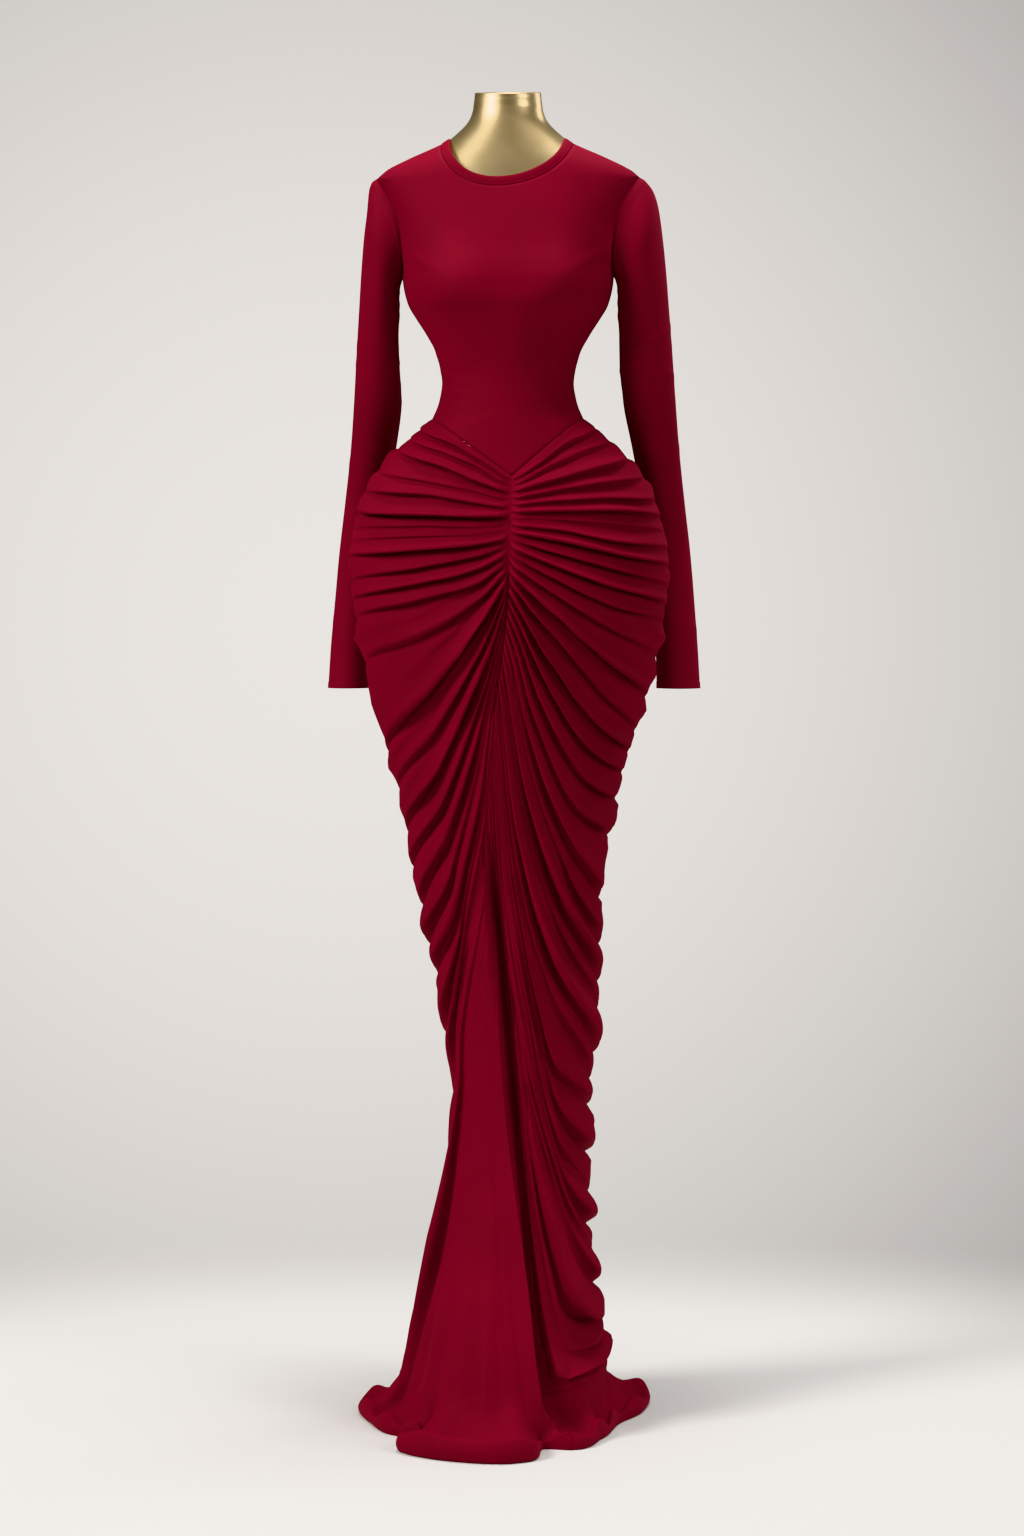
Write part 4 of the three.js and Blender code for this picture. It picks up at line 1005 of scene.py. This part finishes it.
# Sleeve creases: place along the sleeve's rings, turn from the outside in degrees, rise, spread
# along and round, and how far they climb as they go round.
SLEEVE_FOLDS = [
    [1.6, 180, 1.2, 0.32, 55, 0.5],
    [2.3, 175, 1.3, 0.3, 50, 0.4],
    [3.0, 168, 1.1, 0.3, 46, -0.5],
    [4.6, -70, 2.4, 0.1, 60, 0.5],
    [5.0, -95, 2.6, 0.09, 66, 0.35],
    [5.4, -80, 2.4, 0.09, 60, -0.3],
    [5.8, -100, 2.0, 0.1, 56, -0.5],
    [7.1, -60, 1.4, 0.1, 60, 0.4],
    [9.0, 120, 1.3, 0.12, 60, -0.4],
    [9.7, -100, 1.5, 0.1, 60, 0.4],
    [10.4, -60, 1.2, 0.08, 60, -0.3],
]


def armhole(c, d):
    """The armhole as a ring on the cloth, at the cosines and sines of the turn round the arm."""
    y = ARM_Y + d * (ARM_HALF_Y - SEAM_GAP)
    z = ARM_Z + c * (ARM_HALF_Z - SEAM_GAP)
    depth = np.where(y < 0, front_depth(z), back_depth(z))
    return on_cloth(np.arccos(-y / depth), z, np.full(z.shape, -SEAM_GROOVE))


def sleeve_tube(s, c, d, side):
    """The sleeve's smooth tube: a head that leaves the armhole, then the rings of the arm."""
    table = np.column_stack([np.arange(1, len(SLEEVE_RINGS) + 1), SLEEVE_RINGS])
    columns = [curve(table, 0, i + 1) for i in range(SLEEVE_RINGS.shape[1])]
    q = np.maximum(s, 1)[:, None]
    outer_x, outer_z, inner_x, inner_z, middle_y, half_y, outer_over, inner_over = (f(q) for f in columns)
    out = np.stack([outer_x + side * outer_over, 0 * q, outer_z], -1)
    inner = np.stack([inner_x + side * inner_over, 0 * q, inner_z], -1)
    middle = (out + inner) / 2
    across = (out - inner) / 2
    rings = middle + across * c[..., None]
    rings[..., 1] = middle_y + half_y * d
    f = np.clip(s / HEAD_END, 0, 1)[:, None, None]
    reached = rings[np.argmax(s >= HEAD_END)][None]
    reached_on = rings[np.argmax(s >= HEAD_END + RING_STEP)][None]
    over = (1 + c) / 2
    out_by = mix(HEAD_OUT_UNDER, HEAD_OUT_OVER, over ** HEAD_CURVE)
    leave = np.stack([out_by, 0 * c, mix(HEAD_DOWN_UNDER, HEAD_DOWN_OVER, over)], -1)
    arrive = (reached_on - reached) / RING_STEP * HEAD_END * mix(HEAD_PULL_UNDER, 1, over)[..., None]
    head = (1 + 2 * f) * (1 - f) ** 2 * armhole(c, d) + f * (1 - f) ** 2 * leave
    head = head + f * f * (3 - 2 * f) * reached - f * f * (1 - f) * arrive
    return np.where(s[:, None, None] < HEAD_END, head, rings)


def sleeve_creases(s, turn, side):
    """The sleeve's creases, the puff of its head, and the stitched line and fold of its cuff."""
    rise = np.zeros((len(s), len(turn)))
    degrees = turn[None, :] / TURN
    for at, around, size, along, spread, climb in SLEEVE_FOLDS:
        away = (degrees - around * side + 180) % 360 - 180
        rise += size * bump(away, 0, spread) * bump(s[:, None] - at + climb * away / 180, 0, along)
    rise += PUFF * bump(s[:, None], PUFF_AT, PUFF_SPREAD)
    stitched = len(SLEEVE_RINGS) - CUFF
    rise -= STITCH_DEPTH * bump(s[:, None], stitched, STITCH_SPREAD)
    rise += CUFF_RISE * ease(stitched, stitched + CUFF_BLEND, s[:, None])
    return rise


def sleeve(name, side):
    """A sleeve: a tube from the armhole to the cuff, with creases at the underarm and elbow and
    a turned cuff."""
    arm = np.linspace(HEAD_END, len(SLEEVE_RINGS), SLEEVE_ROWS - HEAD_ROWS + 1)
    s = np.concatenate([np.linspace(0, HEAD_END, HEAD_ROWS)[:-1], arm])
    turn = np.linspace(0, 2 * math.pi, SLEEVE_ROUND + 1)
    path = sleeve_tube(s, np.cos(turn)[None, :], np.sin(turn)[None, :], side)
    path = path + tube_normals(path) * sleeve_creases(s, turn, side)[..., None]
    path[..., 0] *= side
    path[:, -1] = path[:, 0]
    places = path.reshape(-1, 3) * MM

    def away_from_arm(point):
        centre = places[np.abs(places[:, 2] - point.z) < RING_NEAR].mean(0)
        return Vector((point.x - centre[0], point.y - centre[1], 0.0))

    return piece(name, [path], JERSEY, outside=away_from_arm)


def tube_normals(path):
    """Outward directions of a tube laid out as rings of places."""
    round_step = np.roll(path[:, :-1], -1, axis=1) - np.roll(path[:, :-1], 1, axis=1)
    round_step = np.concatenate([round_step, round_step[:, :1]], axis=1)
    along = np.gradient(path, axis=0)
    normal = unit(np.cross(round_step, along))
    centre = path[:, :-1].mean(axis=1, keepdims=True)
    facing = np.sum(normal * (path - centre), axis=-1, keepdims=True)
    return normal * np.where(facing.mean() < 0, -1, 1)


# Columns of half the neckband, and the outline of its cut end: distance up the band, thickness.
BAND_COLUMNS = 90
BAND_SECTION = np.array([
    [0.2, -1.5],
    [0.25, -0.7],
    [0.8, 0.2],
    [2.0, 0.75],
    [3.0, 0.5],
    [3.6, 0.75],
    [6.0, 1.0],
    [9.0, 0.9],
    [11.0, 0.5],
    [11.9, -0.2],
    [12.1, -0.9],
    [11.8, -1.6],
    [11.0, -2.0],
    [6.0, -1.9],
    [1.5, -1.9],
    [0.4, -1.9],
    [0.2, -1.5],
])


def neckband(name):
    """The neckband: a folded strip on the neckline's slope, with a rounded top and a row of
    stitches sunk beside its seam."""
    there, back = np.linspace(-1, 1, BAND_COLUMNS)[:-1], np.linspace(1, -1, BAND_COLUMNS)
    u = np.concatenate([there, back])
    front = np.arange(len(u)) < len(there)
    front_angle, front_w = neck_edge(u, -1)
    back_angle, back_w = neck_edge(u, 1)
    angle = np.where(front, front_angle, math.pi - back_angle)
    w = np.where(front, front_w, back_w)
    at, out = cloth_point(angle, w), cloth_normal(angle, w)
    ring = at[:-1]
    along = unit(np.roll(ring, -1, axis=0) - np.roll(ring, 1, axis=0))
    along = np.concatenate([along, along[:1]])
    up = -unit(np.cross(along, out))
    up = up * np.where(up[:, 2:3].mean() < 0, -1, 1)
    height = BAND_SECTION[:, 0][:, None, None]
    thick = (BAND_SECTION[:, 1] + BAND_LIFT * BAND_SECTION[:, 0] ** 2 / BAND_WIDTH)[:, None, None]
    path = at[None] + up[None] * height + out[None] * thick
    return piece(name, [path], JERSEY, thickness=0)


# The form's closed bottom, the height where its sides start, how far it rounds under, and its top.
FORM_BOTTOM, FORM_SIDE, FORM_ROUND, FORM_TOP = 700.0, 740, 52, 1597
FORM_STEP, FORM_GAP, FORM_COLUMNS = 5, 0.4, 97
BOTTOM_ROWS, SIDE_ROWS, NECK_ROWS = 14, 130, 34
BOTTOM_CAPS = (1, 0.5)
# The neck's cap, from its rim to its middle: the share of the way in, and the rise.
NECK_CAPS = ((0.02, 0.5), (0.05, 0.8), (0.5, 0.8), (1, 0.8))
# The shoulders and neck are smoothed over this many rows below and above the place where they meet.
JOIN_BELOW, JOIN_ABOVE, JOIN_ROUNDS, JOIN_SHARE = 8, 16, 60, 0.25
# The smoothed shoulders are sunk under the neckband: depth, rows below the join, spread in rows.
SINK, SINK_BELOW, SINK_SPREAD = 3.2, 4, 5


def torso_rings(angle):
    """The form's body, set in from the cloth and rounded under at its bottom."""
    bottom = np.linspace(FORM_BOTTOM, FORM_SIDE, BOTTOM_ROWS)
    z = np.concatenate([bottom, np.linspace(FORM_SIDE + FORM_STEP, FORM_TOP, SIDE_ROWS)])
    height = z[:, None] + 0 * angle
    set_in = -(CLOTH + FORM_GAP + form_clear(z))[:, None] + 0 * angle
    body = on_cloth(angle + 0 * height, height, set_in)
    low = z < FORM_SIDE
    body[low, :, 2] = z[low, None]
    rounding = np.sqrt(np.clip(1 - ((FORM_SIDE - z[low]) / FORM_ROUND) ** 2, 0, 1))
    body[low, :, :2] *= rounding[:, None, None]
    return body


def neck_rings(angle):
    """The form's neck, cut on a slant at the top."""
    lowest, _, bend, highest = NECK_SECTIONS[:, 0]
    z = np.linspace(lowest, highest, NECK_ROWS)
    half, front, back = (curve(NECK_SECTIONS, 0, i)(z)[:, None] for i in (1, 2, 3))
    depth = np.where(np.cos(angle) > 0, front, back)
    y = -depth * np.cos(angle)
    slant = NECK_TILT * (y - back) * ease(bend, highest, z)[:, None]
    return np.stack([half * np.sin(angle), y, z[:, None] + slant], -1)


def form_torso(name):
    """The form: a smooth torso with closed shoulders and a capped neck."""
    angle = np.linspace(0, 2 * math.pi, FORM_COLUMNS)[None, :]
    body, neck = torso_rings(angle), neck_rings(angle)
    rim, floor = neck[-1:], body[:1]
    rim_centre = rim[:, :-1].mean(axis=1, keepdims=True)
    floor_centre = floor[:, :-1].mean(axis=1, keepdims=True)
    caps = [mix(rim, rim_centre, share) + [0, 0, rise] for share, rise in NECK_CAPS]
    bottoms = [mix(floor, floor_centre, share) for share in BOTTOM_CAPS]
    path = np.concatenate([*bottoms, body, neck, *caps])
    join = len(bottoms) + len(body)
    low, high = join - JOIN_BELOW, join + JOIN_ABOVE
    for _ in range(JOIN_ROUNDS):
        bend = path[low - 1:high - 1] - 2 * path[low:high] + path[low + 1:high + 1]
        path[low:high] += JOIN_SHARE * bend
    under_band = np.exp(-((np.arange(len(path)) - join + SINK_BELOW) / SINK_SPREAD) ** 2)
    path[:, :, 2] -= SINK * under_band[:, None] * np.sin(angle) ** 2
    path[:, -1] = path[:, 0]
    return piece(name, [path], GOLD, thickness=0)


skirt_left, left_seam = front_panel("skirt_left_cloth", LEFT_FOLDS, 1)
skirt_right, right_seam = front_panel("skirt_right_cloth", RIGHT_FOLDS, -1)
skirt_back_left = back_panel("skirt_back_left_cloth", 1, left_seam)
skirt_back_right = back_panel("skirt_back_right_cloth", -1, right_seam)
bodice_front = bodice("bodice_front_cloth", -1)
bodice_back = bodice("bodice_back_cloth", 1)
sleeve_left = sleeve("sleeve_left_cloth", 1)
sleeve_right = sleeve("sleeve_right_cloth", -1)
band = neckband("neckband_cloth")
form = form_torso("form_torso_skin")

for shape, node in [
    (skirt_left, "skirt_front_left"),
    (skirt_right, "skirt_front_right"),
    (skirt_back_left, "skirt_back_left"),
    (skirt_back_right, "skirt_back_right"),
    (bodice_front, "bodice_front"),
    (bodice_back, "bodice_back"),
    (sleeve_left, "sleeve_left"),
    (sleeve_right, "sleeve_right"),
    (band, "neckband"),
]:
    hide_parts(node)
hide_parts("form_torso")
for node in ("form_pole", "form_base"):
    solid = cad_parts[node]
    solid.data.materials.clear()
    solid.data.materials.append(STEEL)


# The floor's middle, and the distances from it at which it starts to fade and is gone, in metres.
FLOOR_CENTRE = (0.0, -1.0, 0.0)
FLOOR_CLEAR, FLOOR_EDGE, FLOOR_SPARE, FLOOR_SIDES = 1.45, 2.3, 0.1, 96


def studio():
    """A round pale floor whose edge fades softly into the backdrop's colour."""
    bm = bmesh.new()
    bmesh.ops.create_circle(bm, cap_ends=True, segments=FLOOR_SIDES,
                          radius=FLOOR_EDGE + FLOOR_SPARE)
    mesh = bpy.data.meshes.new("studio_floor")
    bm.to_mesh(mesh)
    bm.free()
    floor = bpy.data.objects.new("studio_floor", mesh)
    bpy.context.scene.collection.objects.link(floor)
    floor.location = FLOOR_CENTRE
    material, tree = new_material("paper_floor")
    place = add_node(tree, "ShaderNodeTexCoord").outputs["Object"]
    distance = add_node(tree, "ShaderNodeVectorMath", {"operation": "LENGTH"}, {"Vector": place})
    edge = add_node(tree, "ShaderNodeMapRange",
                    {"interpolation_type": "SMOOTHSTEP", "From Min": FLOOR_CLEAR,
                     "From Max": FLOOR_EDGE},
                    {"Value": distance.outputs["Value"]})
    paper = add_node(tree, "ShaderNodeBsdfPrincipled",
                     {"Base Color": linear(PAPER), "Roughness": 0.9, "Specular IOR Level": 0.1})
    clear = add_node(tree, "ShaderNodeBsdfTransparent")
    both = add_node(tree, "ShaderNodeMixShader", {}, {"Fac": edge.outputs["Result"]})
    tree.links.new(paper.outputs["BSDF"], both.inputs[1])
    tree.links.new(clear.outputs["BSDF"], both.inputs[2])
    add_node(tree, "ShaderNodeOutputMaterial", {}, {"Surface": both.outputs["Shader"]})
    mesh.materials.append(material)


# The painted pool of light on the backdrop: its brightest place as a direction, and how bright it is there
# and at its rim.
GLOW_TOWARDS = (-0.104, 0.994, 0.0)
GLOW_RIM, GLOW_BRIGHT, GLOW_DIM = 0.961, 0.88, 0.5
AIR_LIGHT = 0.17


def studio_air():
    """A pale wall all round with a painted pool of light on it, brightest about where the camera looks and
    dimmer towards its rim, and the room's dim light.
    """
    world = bpy.data.worlds.new("studio_air")
    bpy.context.scene.world = world
    world.use_nodes = True
    tree = world.node_tree
    tree.nodes.clear()
    way = add_node(tree, "ShaderNodeTexCoord").outputs["Generated"]
    near = add_node(tree, "ShaderNodeVectorMath", {"operation": "DOT_PRODUCT"}, {"Vector": way})
    near.inputs[1].default_value = GLOW_TOWARDS
    # Painted light on the backdrop: full brightness at the pool's middle, falling to a painted dimmer rim.
    glow = add_node(tree, "ShaderNodeMapRange",
                    {"From Min": GLOW_RIM, "From Max": 1.0, "To Min": GLOW_DIM, "To Max": GLOW_BRIGHT},
                    {"Value": near.outputs["Value"]})
    seen = add_node(tree, "ShaderNodeBackground", {"Color": linear(WALL_LIGHT)},
                    {"Strength": glow.outputs["Result"]})
    room = add_node(tree, "ShaderNodeBackground",
                    {"Color": linear(ROOM_LIGHT), "Strength": AIR_LIGHT})
    eye = add_node(tree, "ShaderNodeLightPath").outputs["Is Camera Ray"]
    both = add_node(tree, "ShaderNodeMixShader", {}, {"Fac": eye})
    tree.links.new(room.outputs["Background"], both.inputs[1])
    tree.links.new(seen.outputs["Background"], both.inputs[2])
    add_node(tree, "ShaderNodeOutputWorld", {}, {"Surface": both.outputs["Shader"]})


def soft_light(name, place, target, size, power, colour):
    """An area light aimed at a place."""
    data = bpy.data.lights.new(name, "AREA")
    data.shape = "RECTANGLE"
    data.size, data.size_y = size
    data.energy = power
    data.color = colour
    lamp = bpy.data.objects.new(name, data)
    bpy.context.scene.collection.objects.link(lamp)
    lamp.location = place
    lamp.rotation_euler = (Vector(target) - Vector(place)).to_track_quat("-Z", "Y").to_euler()


# Each light: its name, place, what it points at, width and height, power and colour.
LIGHTS = [
    ("key", (-3.1, -2.1, 3.3), (0, 0, 0.95), (1.4, 1.7), 182, (1, 0.99, 0.975)),
    ("fill", (3.0, -2.2, 2.0), (0, 0, 0.9), (1.2, 2.2), 50, (0.98, 0.99, 1)),
    ("top", (0.2, -0.1, 4.2), (0, 0, 1.0), (1.6, 1.4), 118, (1, 1, 1)),
    ("rim", (2.3, 1.7, 2.4), (0, 0, 1.1), (0.8, 2.2), 20, (1, 1, 1)),
]
studio()
for light in LIGHTS:
    soft_light(*light)
studio_air()
bpy.context.scene.view_settings.view_transform = "Khronos PBR Neutral"

# The photo's camera: its turn to the wearer's left, distance, height, aim, sensor and lens.
CAMERA_TURN, CAMERA_DISTANCE, CAMERA_HEIGHT = 3.0, 4.2, 1.0
CAMERA_AIM = (0.005, 0, 0.816)
SENSOR, LENS = 36, 78.75
camera_data = bpy.data.cameras.new("camera")
camera_data.sensor_fit = "AUTO"
camera_data.sensor_width = SENSOR
camera_data.lens = LENS
camera = bpy.data.objects.new("camera", camera_data)
bpy.context.scene.collection.objects.link(camera)
camera.location = (
    CAMERA_DISTANCE * math.sin(CAMERA_TURN * TURN),
    -CAMERA_DISTANCE * math.cos(CAMERA_TURN * TURN),
    CAMERA_HEIGHT,
)
look = Vector(CAMERA_AIM) - camera.location
camera.rotation_euler = look.to_track_quat("-Z", "Y").to_euler()
bpy.context.scene.camera = camera
